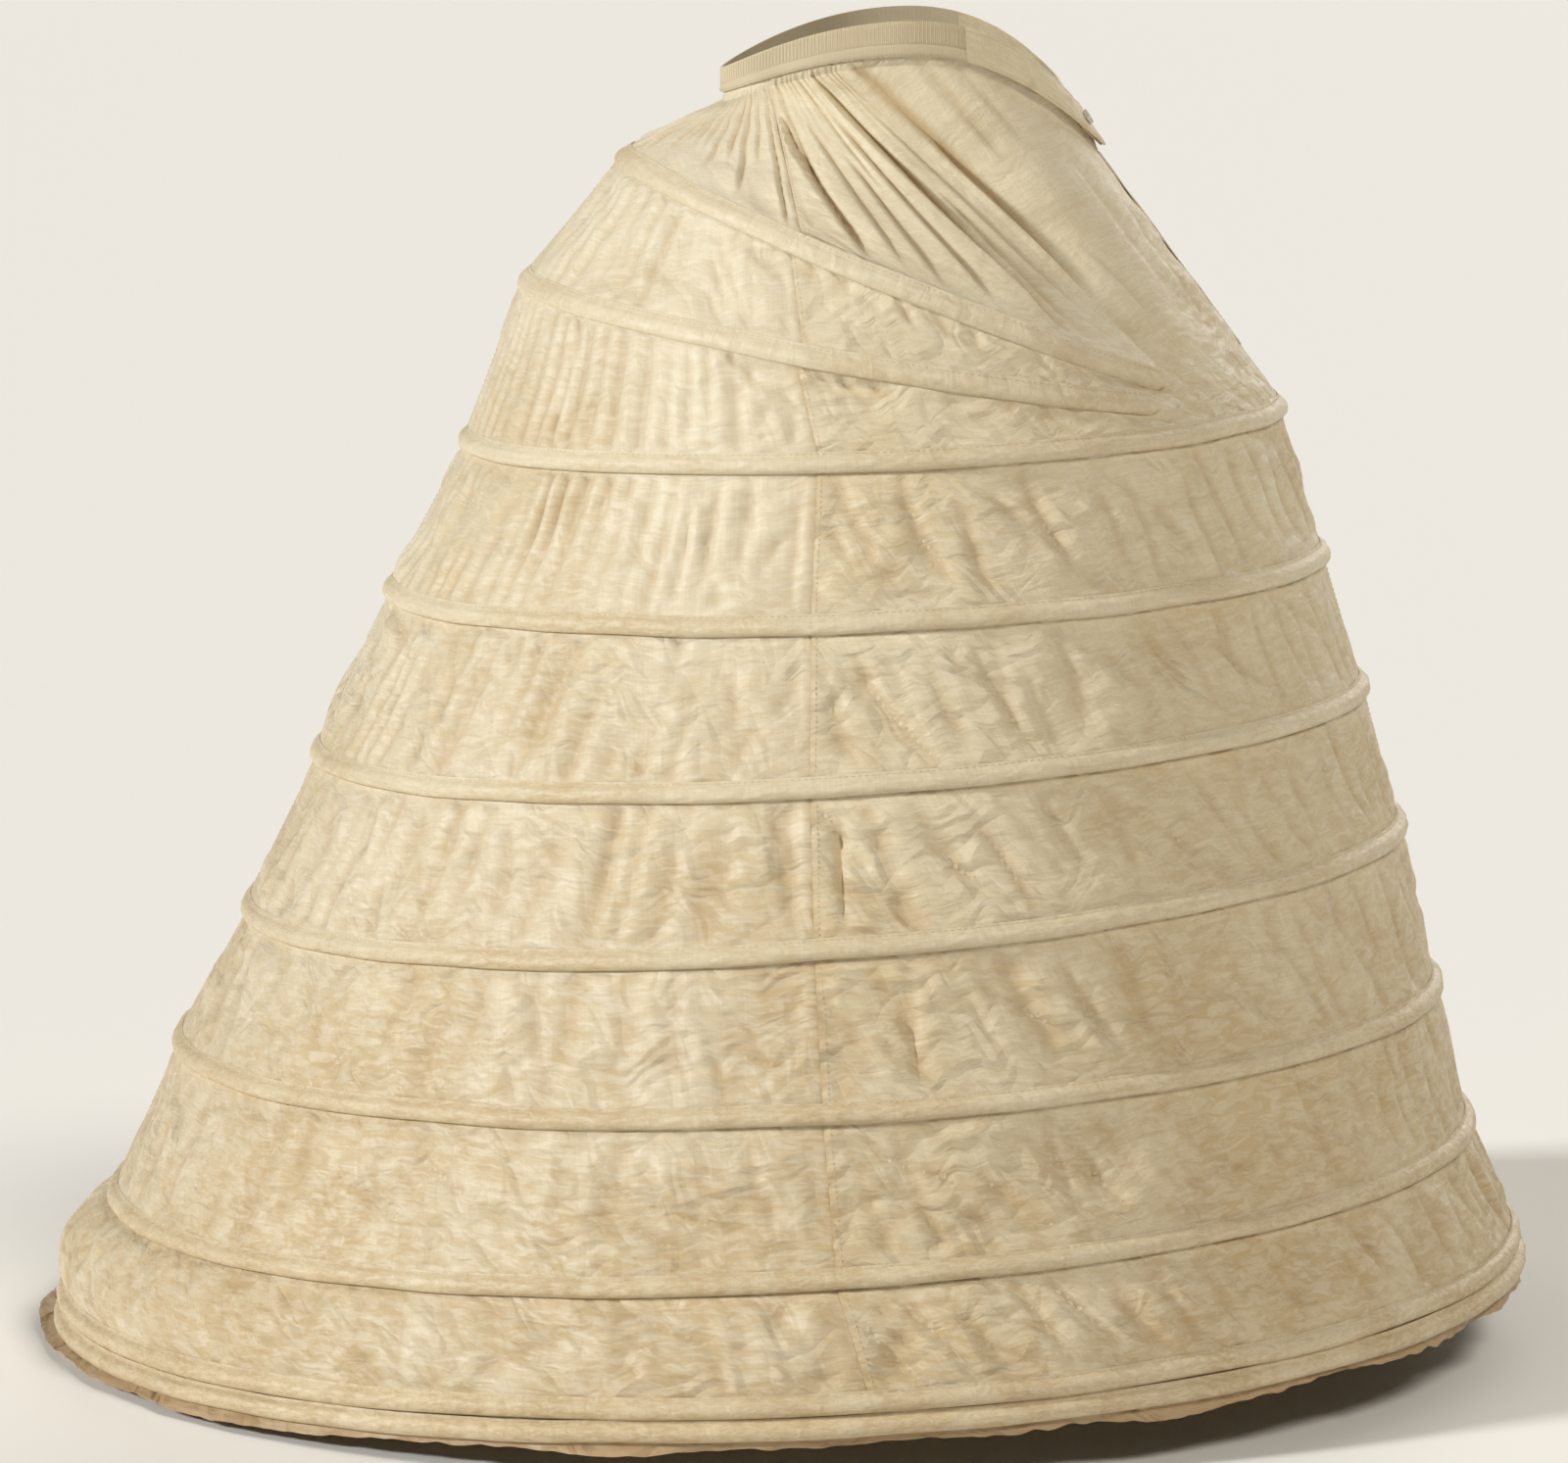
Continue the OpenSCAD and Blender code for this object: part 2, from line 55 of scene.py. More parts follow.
# The cage's sizes, in millimetres and degrees, as in the solids
cage = dict(hemRadius=488, topRadius=274, bell=7, topDrop=242, spaced=6, pitch=97, hemPitch=70, hemPairGap=1,
            topTrail=22, lowerTrail=75, hemTrail=77, tilt=3,
            sway=(-0.6, -0.7, 0.7, 1.2, -0.3, 0.1, -0.6))
halves = dict(upperBack=184, upperDrop=68, lowerBack=249, lowerDrop=149, lowerGap=10.5, upperGap=3.5,
              upperColumn=8, lowerColumn=9, slope=26)
casing = dict(height=11, depth=7, flange=2.5, clothGap=0.3)
waist = dict(depth=253, width=206, lead=4.5, rise=26, frontDip=56, backDip=35, height=22.5,
             frontHeight=30, backHeight=16, frontFlare=20, thick=1.6, gap=0.6, tuck=8, rootDrop=6)
seams = dict(waist=139, upper=117, lower=105, top=98, hem=82, columns=20, fanColumn=8.5, fanAngle=112)

casingTop = casing["height"] / 2 + casing["flange"]
casingBottom = -casing["height"] / 2
casingTall = casingTop - casingBottom
lowerRise = casingTall + halves["lowerGap"]
upperRise = lowerRise + casingTall + halves["upperGap"]
bandInset = waist["thick"] + waist["gap"]


def cosd(a):
    return np.cos(np.radians(a))


def sind(a):
    return np.sin(np.radians(a))


def mix(a, b, t):
    return a + (b - a) * t


def smooth(t):
    t = np.clip(t, 0, 1)
    return t * t * (3 - 2 * t)


def bothEnds(t, reach):
    return smooth(t / reach) * smooth((1 - t) / reach)


def stack(x, y, z):
    return np.stack(np.broadcast_arrays(x, y, z), -1).astype(float)


def unit(v):
    return v / np.maximum(np.linalg.norm(v, axis=-1, keepdims=True), 1e-9)


# Length run along a line or a grid of points
def lengthAlong(points, axis=0):
    steps = np.linalg.norm(np.diff(points, axis=axis), axis=-1)
    start = np.zeros_like(np.take(steps, [0], axis))
    return np.concatenate([start, np.cumsum(steps, axis=axis)], axis=axis)


# A hoop's frame: centre, tilt, radius of the cloth's face and slope of the cloth
def hoopFrames():
    spaced = cage["spaced"]
    drop = (spaced - 1) * cage["pitch"] + cage["hemPitch"]
    wall = math.degrees(math.atan((cage["hemRadius"] - cage["topRadius"]) / drop))
    hem = wall / 2

    def clothRadius(outer, slope):
        roundPart = (casing["height"] - casing["depth"]) / 2
        return outer - casing["depth"] / 2 * (1 + cosd(slope)) - roundPart * sind(slope)

    frames = []
    for i in range(spaced):
        share = i / spaced
        outer = mix(cage["topRadius"], cage["hemRadius"], share) + cage["bell"] * 4 * share * (1 - share)
        trail = mix(cage["topTrail"], cage["lowerTrail"], i / (spaced - 1))
        frames.append(dict(x=-trail, z=-cage["topDrop"] - i * cage["pitch"],
                           tilt=cage["tilt"] + cage["sway"][i], radius=clothRadius(outer, wall), slope=wall))
    tilt = cage["tilt"] + cage["sway"][spaced]
    pairPitch = casingTall + cage["hemPairGap"]
    pairDrop = pairPitch * cosd(hem)
    upper = dict(x=-cage["hemTrail"], z=-cage["topDrop"] - drop, tilt=tilt,
                 radius=clothRadius(cage["hemRadius"], hem), slope=hem)
    lower = dict(x=upper["x"] + pairDrop * sind(tilt), z=upper["z"] - pairDrop * cosd(tilt), tilt=tilt,
                 radius=upper["radius"] + pairPitch * sind(hem), slope=hem)
    return frames + [upper, lower]


hoopFrame = hoopFrames()
hoopCount = len(hoopFrame)
lastHoop = hoopCount - 1


# A point beside a hoop: out from the cloth's face, up the cloth, and round by an angle
def beside(hoop, out, up, angle):
    r = hoop["radius"] + out * cosd(hoop["slope"]) - up * sind(hoop["slope"])
    h = out * sind(hoop["slope"]) + up * cosd(hoop["slope"])
    return stack(hoop["x"] + r * cosd(angle) * cosd(hoop["tilt"]) - h * sind(hoop["tilt"]), r * sind(angle),
                 hoop["z"] + r * cosd(angle) * sind(hoop["tilt"]) + h * cosd(hoop["tilt"]))


# Cloth columns: 0 is the centre front, 20 the side seam and 40 the centre back
def columnAngle(column, seam):
    n = seams["columns"]
    return np.where(column <= n, seam * column / n, mix(seam, 180, column / n - 1))


def hoopAngle(i, column):
    return columnAngle(column, mix(seams["top"], seams["hem"], i / lastHoop))


def waistAngle(column):
    f = seams["fanColumn"]
    n = seams["columns"]
    side = mix(seams["fanAngle"], seams["waist"], (column - f) / (n - f))
    back = mix(seams["waist"], 180, column / n - 1)
    return np.where(column <= f, seams["fanAngle"] * column / f, np.where(column <= n, side, back))


def bandDrop(angle):
    end = np.where(cosd(angle) > 0, waist["frontHeight"], waist["backHeight"])
    return mix(waist["height"], end, cosd(angle) ** 2)


def bandOut(angle):
    return unit(stack(cosd(angle) / waist["depth"], sind(angle) / waist["width"], 0))


def bandPoint(angle, share, inset):
    angle, share, inset = np.broadcast_arrays(np.asarray(angle, float), share, inset)
    front = cosd(angle) > 0
    dip = np.where(front, waist["frontDip"], waist["backDip"]) * cosd(angle) ** 2
    flare = np.where(front, share * waist["frontFlare"] * cosd(angle) ** 2, 0)
    face = stack(waist["lead"] + waist["depth"] / 2 * cosd(angle) - flare, waist["width"] / 2 * sind(angle),
                 waist["rise"] - dip - bandDrop(angle) * (1 - share))
    return face - inset[..., None] * bandOut(angle)


# The cloth is tucked deeper at the front, where the waistband laps over itself
def tuckDepth(column):
    f = seams["fanAngle"]
    return bandInset * (2 - np.clip((waistAngle(column) - f / 2) / (f / 4), 0, 1))


def root(column):
    return bandPoint(waistAngle(column), 0, tuckDepth(column)) - np.array([0, 0, waist["rootDrop"]])


def tucked(column):
    angle = waistAngle(column)
    return bandPoint(angle, waist["tuck"] / bandDrop(angle), tuckDepth(column))


def topEdge(column):
    return beside(hoopFrame[0], -casing["clothGap"], casingTop, hoopAngle(0, column))


def upTheFront(column, distance):
    foot = topEdge(column)
    return foot + unit(root(column) - foot) * distance


# A half hoop's frame: the circle through its back and its two ends, with the angle of its end
def halfFrame(label, rise):
    back = halves[label + "Back"]
    drop = halves[label + "Drop"]
    first = halves[label + "Column"]
    end = upTheFront(np.array(float(first)), rise - casingTop)
    run = math.hypot(end[0] + back, end[2] + drop)
    tilt = math.degrees(math.atan2(end[2] + drop, end[0] + back))
    r = (run * run + end[1] * end[1]) / (2 * run)
    return dict(x=-back + r * cosd(tilt), z=-drop + r * sind(tilt), tilt=tilt, radius=r,
                slope=halves["slope"], end=math.degrees(math.atan2(end[1], run - r)),
                first=first, seam=seams[label], rise=rise)


upperFrame = halfFrame("upper", upperRise)
lowerFrame = halfFrame("lower", lowerRise)


# A row of the cloth along a half hoop, which goes on across the front where the hoop has ended
def halfRow(half, up, column):
    n = seams["columns"]
    ahead = mix(half["end"], half["seam"], (column - half["first"]) / (n - half["first"]))
    angle = np.where(column <= n, ahead, mix(half["seam"], 180, column / n - 1))
    onHoop = beside(half, -casing["clothGap"], up, angle)
    onFront = upTheFront(column, half["rise"] - casingTop + up)
    return np.where((column < half["first"])[..., None], onFront, onHoop)


def skinOut(angle, slope):
    return stack(cosd(angle) * cosd(slope), sind(angle) * cosd(slope), sind(slope))


# Mesh helpers
def addPiece(name, points, faces, material, slotName, uv=None, sharp=50, marks=None):
    mesh = bpy.data.meshes.new(name)
    mesh.from_pydata((np.asarray(points) * mm).tolist(), [], [list(map(int, f)) for f in faces])
    if uv is not None:
        corners = np.empty(len(mesh.loops), np.int32)
        mesh.loops.foreach_get("vertex_index", corners)
        layer = mesh.uv_layers.new(name="clothMap")
        layer.uv.foreach_set("vector", np.asarray(uv)[corners].astype(np.float32).ravel())
    for mark, values in (marks or {}).items():
        layer = mesh.attributes.new(mark, "FLOAT", "POINT")
        layer.data.foreach_set("value", values.astype(np.float32).ravel())
    mesh.polygons.foreach_set("use_smooth", np.ones(len(mesh.polygons), bool))
    mesh.set_sharp_from_angle(angle=math.radians(sharp))
    mesh.materials.append(material)
    mesh.validate()
    piece = bpy.data.objects.new(name, mesh)
    scene.collection.objects.link(piece)
    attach(piece, "root")
    return piece


# A piece that stands for one solid, named after its node
def addCloth(node, points, faces, material, slotName, uv, **others):
    words = node.split("_")
    name = words[0] + "".join(word.capitalize() for word in words[1:])
    piece = addPiece(name, points, faces, material, slotName, uv, **others)
    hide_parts(node)
    return piece


def gridQuads(columns, rows, wrapColumns=False, wrapRows=False):
    c = np.arange(columns if wrapColumns else columns - 1)[:, None]
    r = np.arange(rows if wrapRows else rows - 1)[None, :]
    nextColumn = (c + 1) % columns
    nextRow = (r + 1) % rows
    corners = ((c, r), (c, nextRow), (nextColumn, nextRow), (nextColumn, r))
    return np.stack([a * rows + b for a, b in corners], -1).reshape(-1, 4)


# Closed thin sheet between an outer and an inner grid of points
def thinSheet(outer, inner, flip=False):
    columns, rows = outer.shape[:2]
    size = columns * rows
    front = gridQuads(columns, rows)
    back = front[:, ::-1] + size
    at = np.arange(size).reshape(columns, rows)
    rim = np.concatenate([at[:, 0], at[-1, 1:], at[-2::-1, -1], at[0, -2:0:-1]])
    after = np.roll(rim, -1)
    walls = np.stack([rim, after, after + size, rim + size], -1)
    faces = [quads[:, ::-1] if flip else quads for quads in (front, back, walls)]
    return np.concatenate([outer.reshape(-1, 3), inner.reshape(-1, 3)]), np.concatenate(faces)


# The same map in metres on both faces of a thin sheet
def sheetMap(across, up):
    uv = np.stack(np.broadcast_arrays(across, up), -1).reshape(-1, 2)
    return np.concatenate([uv, uv])


def gridOut(grid):
    along = np.gradient(grid, axis=0)
    down = np.gradient(grid, axis=1)
    return unit(np.cross(down, along))


# Smooth random hills over two coordinates, from a few waves of each length
def hills(a, b, lengths, seed, waves=5):
    draw = np.random.default_rng(seed)
    total = 0
    for length in lengths:
        for turn in draw.uniform(0, math.pi, waves):
            phase = draw.uniform(0, 2 * math.pi)
            total = total + np.sin((a * math.cos(turn) + b * math.sin(turn)) * 2 * math.pi / length + phase)
    return total / (waves * len(lengths)) ** 0.5


# Node helpers: an input takes either a plain value or another node's output
def fill(tree, node, values):
    for key, value in values.items():
        if isinstance(value, (int, float, tuple)):
            node.inputs[key].default_value = value
        else:
            tree.links.new(value, node.inputs[key])


def place(tree, kind, values=None, **settings):
    node = tree.nodes.new(kind)
    for key, value in settings.items():
        setattr(node, key, value)
    fill(tree, node, values or {})
    return node


def maths(tree, operation, *values):
    return place(tree, "ShaderNodeMath", dict(enumerate(values)), operation=operation).outputs[0]


def ranged(tree, value, low, high, toLow=0.0, toHigh=1.0):
    values = {"Value": value, "From Min": low, "From Max": high, "To Min": toLow, "To Max": toHigh}
    return place(tree, "ShaderNodeMapRange", values, interpolation_type="SMOOTHSTEP").outputs["Result"]


def noise(tree, vector, scale, detail=3.0, rough=0.55, warp=0.0, flat=False):
    values = {"Vector": vector, "Scale": scale, "Detail": detail, "Roughness": rough, "Distortion": warp}
    return place(tree, "ShaderNodeTexNoise", values, noise_dimensions="2D" if flat else "3D").outputs["Fac"]


def stretched(tree, vector, scale):
    return place(tree, "ShaderNodeVectorMath", {0: vector, 1: scale}, operation="MULTIPLY").outputs["Vector"]


def parted(tree, vector):
    return place(tree, "ShaderNodeSeparateXYZ", {0: vector}).outputs


def blended(tree, fac, a, b):
    return place(tree, "ShaderNodeMix", {0: fac, 6: a, 7: b}, data_type="RGBA").outputs[2]


def bumped(tree, height, strength, distance, **normal):
    values = dict(Height=height, Strength=strength, Distance=distance, **normal)
    return place(tree, "ShaderNodeBump", values).outputs["Normal"]


def attribute(tree, name):
    return place(tree, "ShaderNodeAttribute", attribute_name=name).outputs["Fac"]


def clothVector(tree):
    return place(tree, "ShaderNodeUVMap", uv_map="clothMap").outputs["UV"]


def objectVector(tree):
    return place(tree, "ShaderNodeTexCoord").outputs["Object"]


# A group takes a vector and one number, and gives masks or heights
def newGroup(name, number, value, outputs):
    tree = bpy.data.node_groups.new(name, "ShaderNodeTree")
    tree.interface.new_socket(name="Vector", in_out="INPUT", socket_type="NodeSocketVector")
    socket = tree.interface.new_socket(name=number, in_out="INPUT", socket_type="NodeSocketFloat")
    socket.default_value = value
    for key in outputs:
        tree.interface.new_socket(name=key, in_out="OUTPUT", socket_type="NodeSocketFloat")
    return tree, tree.nodes.new("NodeGroupInput").outputs, tree.nodes.new("NodeGroupOutput")


def useGroup(tree, group, **values):
    return place(tree, "ShaderNodeGroup", values, node_tree=group).outputs


# Plain weave with slubs: the vector is in metres along the cloth
weaveLook = dict(threads=1400.0, over=0.35, acrossSlub=(28, 620, 1), uprightSlub=(620, 28, 1),
                 acrossShare=0.6, uprightShare=0.4, slubDetail=2.0)


def makeWeave():
    look = weaveLook
    tree, given, out = newGroup("plain weave", "Threads", look["threads"], ("Height", "Slub"))
    parts = parted(tree, given["Vector"])
    turns = maths(tree, "MULTIPLY", given["Threads"], math.pi)
    warp = maths(tree, "SINE", maths(tree, "MULTIPLY", parts["X"], turns))
    weft = maths(tree, "SINE", maths(tree, "MULTIPLY", parts["Y"], turns))
    over = maths(tree, "MULTIPLY", warp, weft)
    slubs = []
    for way in ("across", "upright"):
        threads = stretched(tree, given["Vector"], look[way + "Slub"])
        slubs.append(maths(tree, "MULTIPLY", noise(tree, threads, 1.0, look["slubDetail"], flat=True),
                           look[way + "Share"]))
    slub = maths(tree, "ADD", *slubs)
    height = maths(tree, "ADD", maths(tree, "MULTIPLY", over, look["over"]), slub)
    fill(tree, out, dict(Height=height, Slub=slub))
    return tree


# Old stains: broad clouds and smaller blots, with their scale, detail, roughness and range
stainLook = dict(clouds=((5.5, 4.0, 0.62), (0.38, 0.68)), blots=((24.0, 3.0, 0.65), (0.55, 0.74)))


def makeStains():
    tree, given, out = newGroup("old stains", "Shift", 0.0, ("Clouds", "Blots"))
    ends = {0: given["Vector"], 1: given["Shift"]}
    spot = place(tree, "ShaderNodeVectorMath", ends, operation="ADD").outputs["Vector"]
    for key in ("clouds", "blots"):
        texture, limits = stainLook[key]
        fill(tree, out, {key.capitalize(): ranged(tree, noise(tree, spot, *texture), *limits)})
    return tree


# Crumpled facets that run mostly across the cloth, fine lines over them, and their flecks: a mask for worn
# flecks and for painted sheen.
# A layer of facets has its turn, its stretch and its share of the height.
crumpleLook = dict(drift=22.0, pull=(0.03, 0.03, 0.0),
                   facets=((-0.45, (7, 33, 1), 0.9), (0.3, (12, 58, 1), 0.5), (-1.15, (14, 64, 1), 0.35)),
                   lines=(16, 90, 1), lineShare=0.3, flecks=(55, 170, 1), fleckRange=(0.36, 0.66))


def makeCrumple():
    look = crumpleLook
    tree, given, out = newGroup("crumple", "Scale", 1.0, ("Height", "Flecks"))
    ends = {0: given["Vector"], "Scale": given["Scale"]}
    spot = place(tree, "ShaderNodeVectorMath", ends, operation="SCALE").outputs["Vector"]
    wander = dict(Vector=spot, Scale=look["drift"], Detail=1.0)
    drift = place(tree, "ShaderNodeTexNoise", wander, noise_dimensions="2D").outputs["Color"]
    ends = {0: drift, 1: look["pull"], 2: spot}
    pulled = place(tree, "ShaderNodeVectorMath", ends, operation="MULTIPLY_ADD").outputs["Vector"]
    heights = []
    for turn, stretch, share in look["facets"]:
        ends = dict(Vector=pulled, Angle=turn)
        turned = place(tree, "ShaderNodeVectorRotate", ends, rotation_type="Z_AXIS").outputs["Vector"]
        ends = dict(Vector=stretched(tree, turned, stretch), Scale=1.0)
        cells = place(tree, "ShaderNodeTexVoronoi", ends, voronoi_dimensions="2D", feature="DISTANCE_TO_EDGE")
        heights.append(maths(tree, "MULTIPLY", cells.outputs["Distance"], share))
    lines = noise(tree, stretched(tree, spot, look["lines"]), 1.0, 3.0, 0.6, flat=True)
    crease = maths(tree, "ABSOLUTE", maths(tree, "SUBTRACT", lines, 0.5))
    total = maths(tree, "ADD", heights[0], maths(tree, "ADD", heights[1], heights[2]))
    flecks = noise(tree, stretched(tree, spot, look["flecks"]), 1.0, 3.0, 0.7, warp=0.5, flat=True)
    fill(tree, out, dict(Height=maths(tree, "MULTIPLY_ADD", crease, look["lineShare"], total),
                         Flecks=ranged(tree, flecks, *look["fleckRange"])))
    return tree


weaveGroup = makeWeave()
stainGroup = makeStains()
crumpleGroup = makeCrumple()


def startMaterial(name):
    material = bpy.data.materials.new(name)
    material.use_nodes = True
    tree = material.node_tree
    return material, tree, tree.nodes["Principled BSDF"]


# Aged cotton for the gores, casings, bands and strips. Reaches and bump heights are in metres.
cottonLook = dict(pale=(0.80, 0.695, 0.475, 1), aged=(0.62, 0.475, 0.26, 1), fleck=(0.89, 0.82, 0.63, 1),
                  stain=(0.46, 0.295, 0.12, 1), slubTone=(0.54, 0.41, 0.225, 1), clouds=0.85, flecks=0.36,
                  blots=0.15, slub=0.2, slubRange=(0.35, 0.65), shift=0.0, crumpleScale=1.0, furrows=0.6,
                  crease=1.0, creaseHeight=0.0058, weave=0.3, weaveHeight=0.0006, rough=0.5, roughSpread=0.08,
                  edgeSoil=0.7, edgeReach=(0.014, -0.002), edgeTone=(0.43, 0.27, 0.125, 1), edgeWander=0.012,
                  edgeScale=45.0, lowSoil=0.8, lowReach=(-0.25, -0.82), lowTone=(0.555, 0.41, 0.215, 1),
                  lowLeast=0.55, mottle=0.12, mottleScale=24.0, mottleRange=(0.36, 0.64), sheen=0.05,
                  sheenRough=0.45, gloss=0.45)


def cottonMaterial(name, **changes):
    look = dict(cottonLook, **changes)
    material, tree, shader = startMaterial(name)
    onCloth = clothVector(tree)
    inSpace = objectVector(tree)
    weave = useGroup(tree, weaveGroup, Vector=onCloth, Threads=weaveLook["threads"])
    stains = useGroup(tree, stainGroup, Vector=inSpace, Shift=look["shift"])
    crumple = useGroup(tree, crumpleGroup, Vector=onCloth, Scale=look["crumpleScale"])
    mottle = ranged(tree, noise(tree, inSpace, look["mottleScale"], 3.0, 0.7), *look["mottleRange"])
    # Darker towards the bottom: partly soil low on the skirt, partly painted shade for the light falling off
    # lower down
    lowness = ranged(tree, parted(tree, inSpace)["Z"], *look["lowReach"], 0.0, look["lowSoil"])

    def toned(colour, mask, share, tone):
        return blended(tree, maths(tree, "MULTIPLY", mask, share), colour, tone)

    colour = toned(look["pale"], stains["Clouds"], look["clouds"], look["aged"])
    colour = toned(colour, mottle, look["mottle"], look["aged"])
    colour = toned(colour, lowness, ranged(tree, mottle, 0, 1, look["lowLeast"], 1.0), look["lowTone"])
    # Painted sheen: the flecks are painted paler, like glazed facets catching the light, over some real wear
    colour = toned(colour, crumple["Flecks"], look["flecks"], look["fleck"])
    colour = toned(colour, stains["Blots"], look["blots"], look["stain"])
    slub = ranged(tree, weave["Slub"], *look["slubRange"], 0.0, look["slub"])
    colour = blended(tree, slub, colour, look["slubTone"])
    # Painted crease shade, together with the seams' soil, in the stain colour
    colour = toned(colour, attribute(tree, "furrow"), look["furrows"], look["stain"])
    # Darker towards the raw edge: painted shade of the turned-out edge, with some soil
    if look["edgeSoil"] > 0:
        wander = maths(tree, "MULTIPLY", noise(tree, inSpace, look["edgeScale"]), look["edgeWander"])
        level = maths(tree, "SUBTRACT", parted(tree, onCloth)["Y"], wander)
        soil = ranged(tree, level, *look["edgeReach"], 0.0, look["edgeSoil"])
        colour = blended(tree, soil, colour, look["edgeTone"])
    rough = ranged(tree, crumple["Flecks"], 0.0, 1.0, look["rough"] + look["roughSpread"],
                   look["rough"] - look["roughSpread"])
    loose = maths(tree, "SUBTRACT", 1.0, attribute(tree, "calm"))
    crumpled = maths(tree, "MULTIPLY", crumple["Height"], loose)
    normal = bumped(tree, crumpled, look["crease"], look["creaseHeight"])
    normal = bumped(tree, weave["Height"], look["weave"], look["weaveHeight"], Normal=normal)
    fill(tree, shader, {"Base Color": colour, "Roughness": rough, "Normal": normal,
                        "Sheen Weight": look["sheen"], "Sheen Roughness": look["sheenRough"],
                        "Specular IOR Level": look["gloss"]})
    return material


# Lit and shaded copies of one cotton: the back gores, seen on the lit left, are painted paler and less yellow
# than the front gores on the shaded right
shadedFrontCotton = cottonMaterial("front cotton", shift=0.4, pale=(0.81, 0.71, 0.505, 1),
                             aged=(0.635, 0.495, 0.28, 1))
litBackCotton = cottonMaterial("back cotton", shift=0.4, pale=(0.82, 0.73, 0.54, 1),
                            aged=(0.65, 0.515, 0.305, 1), fleck=(0.90, 0.84, 0.68, 1))
casingCotton = cottonMaterial("casing cotton", shift=7.7, crumpleScale=2.2, crease=0.3, flecks=0.35,
                              edgeSoil=0.0, pale=(0.80, 0.70, 0.50, 1), aged=(0.64, 0.50, 0.295, 1))
bandCotton = cottonMaterial("band cotton", shift=5.2, crumpleScale=1.8, crease=0.2, clouds=0.9, blots=0.5,
                            edgeSoil=0.0)

# Ribbed tape: a greyer cotton whose cords run up the band, with painted shade in the grooves between the
# cords
tapeLook = dict(pale=(0.77, 0.67, 0.47, 1), aged=(0.63, 0.52, 0.34, 1), groove=(0.42, 0.32, 0.18, 1),
                cords=1050.0, grooves=0.45, shift=9.0, rough=(0.72, 0.86), cord=0.4, cordHeight=0.0004,
                weave=0.25, weaveHeight=0.0005, sheen=0.15)


def tapeMaterial(look):
    material, tree, shader = startMaterial("ribbed tape")
    onCloth = clothVector(tree)
    stains = useGroup(tree, stainGroup, Vector=objectVector(tree), Shift=look["shift"])
    weave = useGroup(tree, weaveGroup, Vector=onCloth, Threads=look["cords"])
    turns = maths(tree, "MULTIPLY", parted(tree, onCloth)["X"], look["cords"] * 2 * math.pi)
    cord = maths(tree, "SINE", turns)
    colour = blended(tree, stains["Clouds"], look["pale"], look["aged"])
    # Painted shade: the grooves between the cords are painted darker
    colour = blended(tree, ranged(tree, cord, -0.2, -1.0, 0.0, look["grooves"]), colour, look["groove"])
    normal = bumped(tree, cord, look["cord"], look["cordHeight"])
    normal = bumped(tree, weave["Height"], look["weave"], look["weaveHeight"], Normal=normal)
    rough = ranged(tree, weave["Slub"], 0.3, 0.7, *look["rough"])
    fill(tree, shader, {"Base Color": colour, "Roughness": rough, "Normal": normal,
                        "Sheen Weight": look["sheen"]})
    return material


# Thread, glazed china, braid and tinned metal share a small helper for a toned, bumped surface
fineHeight = 0.0005


def tonedMaterial(name, light, dark, grain, fine, bump, rough, metal=0.0, coat=0.0):
    material, tree, shader = startMaterial(name)
    inSpace = objectVector(tree)
    tone = ranged(tree, noise(tree, stretched(tree, inSpace, grain), 1.0, 4.0, 0.6, warp=0.5), 0.36, 0.66)
    height = noise(tree, stretched(tree, inSpace, fine), 1.0, 2.0)
    fill(tree, shader, {"Base Color": blended(tree, tone, light, dark), "Metallic": metal,
                        "Coat Weight": coat, "Roughness": ranged(tree, tone, 0.0, 1.0, *rough),
                        "Normal": bumped(tree, height, bump, fineHeight)})
    return material


tape = tapeMaterial(tapeLook)
thread = tonedMaterial("sewing thread", light=(0.74, 0.64, 0.46, 1), dark=(0.60, 0.47, 0.29, 1),
                       grain=(40, 40, 40), fine=(2500, 2500, 2500), bump=0.3, rough=(0.75, 0.9))
china = tonedMaterial("white china", light=(0.86, 0.84, 0.78, 1), dark=(0.76, 0.70, 0.58, 1),
                      grain=(160, 160, 160), fine=(500, 500, 500), bump=0.06, rough=(0.12, 0.28), coat=0.4)
braid = tonedMaterial("braided cotton", light=(0.52, 0.47, 0.38, 1), dark=(0.36, 0.30, 0.22, 1),
                      grain=(60, 60, 60), fine=(1400, 1400, 900), bump=0.5, rough=(0.7, 0.9))
tinned = tonedMaterial("tinned metal", light=(0.58, 0.56, 0.52, 1), dark=(0.34, 0.24, 0.16, 1),
                       grain=(220, 220, 220), fine=(900, 900, 900), bump=0.2, rough=(0.3, 0.6), metal=0.85)
print("materials made")

# Folds of the fan below the waistband on the seen side: columns at the waist and at the upper half hoop,
# depth, width in columns, and where the fold starts and ends (1 is the waist, 0 the half hoop)
seenFolds = [(8.3, 7.7, 10.0, 0.52, 1.08, 0.24), (13.0, 11.4, 11.0, 0.60, 1.05, 0.00),
             (20.2, 17.7, 8.5, 0.50, 0.86, 0.00), (17.4, 16.4, 3.6, 0.40, 0.80, 0.02),
             (16.0, 15.3, 3.8, 0.40, 0.66, 0.00), (14.5, 13.6, 4.6, 0.45, 0.86, 0.02),
             (11.4, 10.6, 3.8, 0.42, 0.60, 0.00), (10.2, 9.3, 2.6, 0.40, 0.90, 0.10),
             (6.9, 6.3, 3.6, 0.42, 1.08, 0.60), (5.9, 5.2, 2.8, 0.40, 1.08, 0.68),
             (7.3, 6.0, 1.8, 0.45, 0.45, 0.05), (4.2, 4.4, 1.5, 0.6, 0.8, 0.2),
             (18.8, 18.9, 2.8, 0.36, 1.05, 0.35), (15.2, 14.6, 2.6, 0.34, 1.08, 0.45),
             (2.6, 3.2, 1.2, 0.5, 0.7, 0.1)]
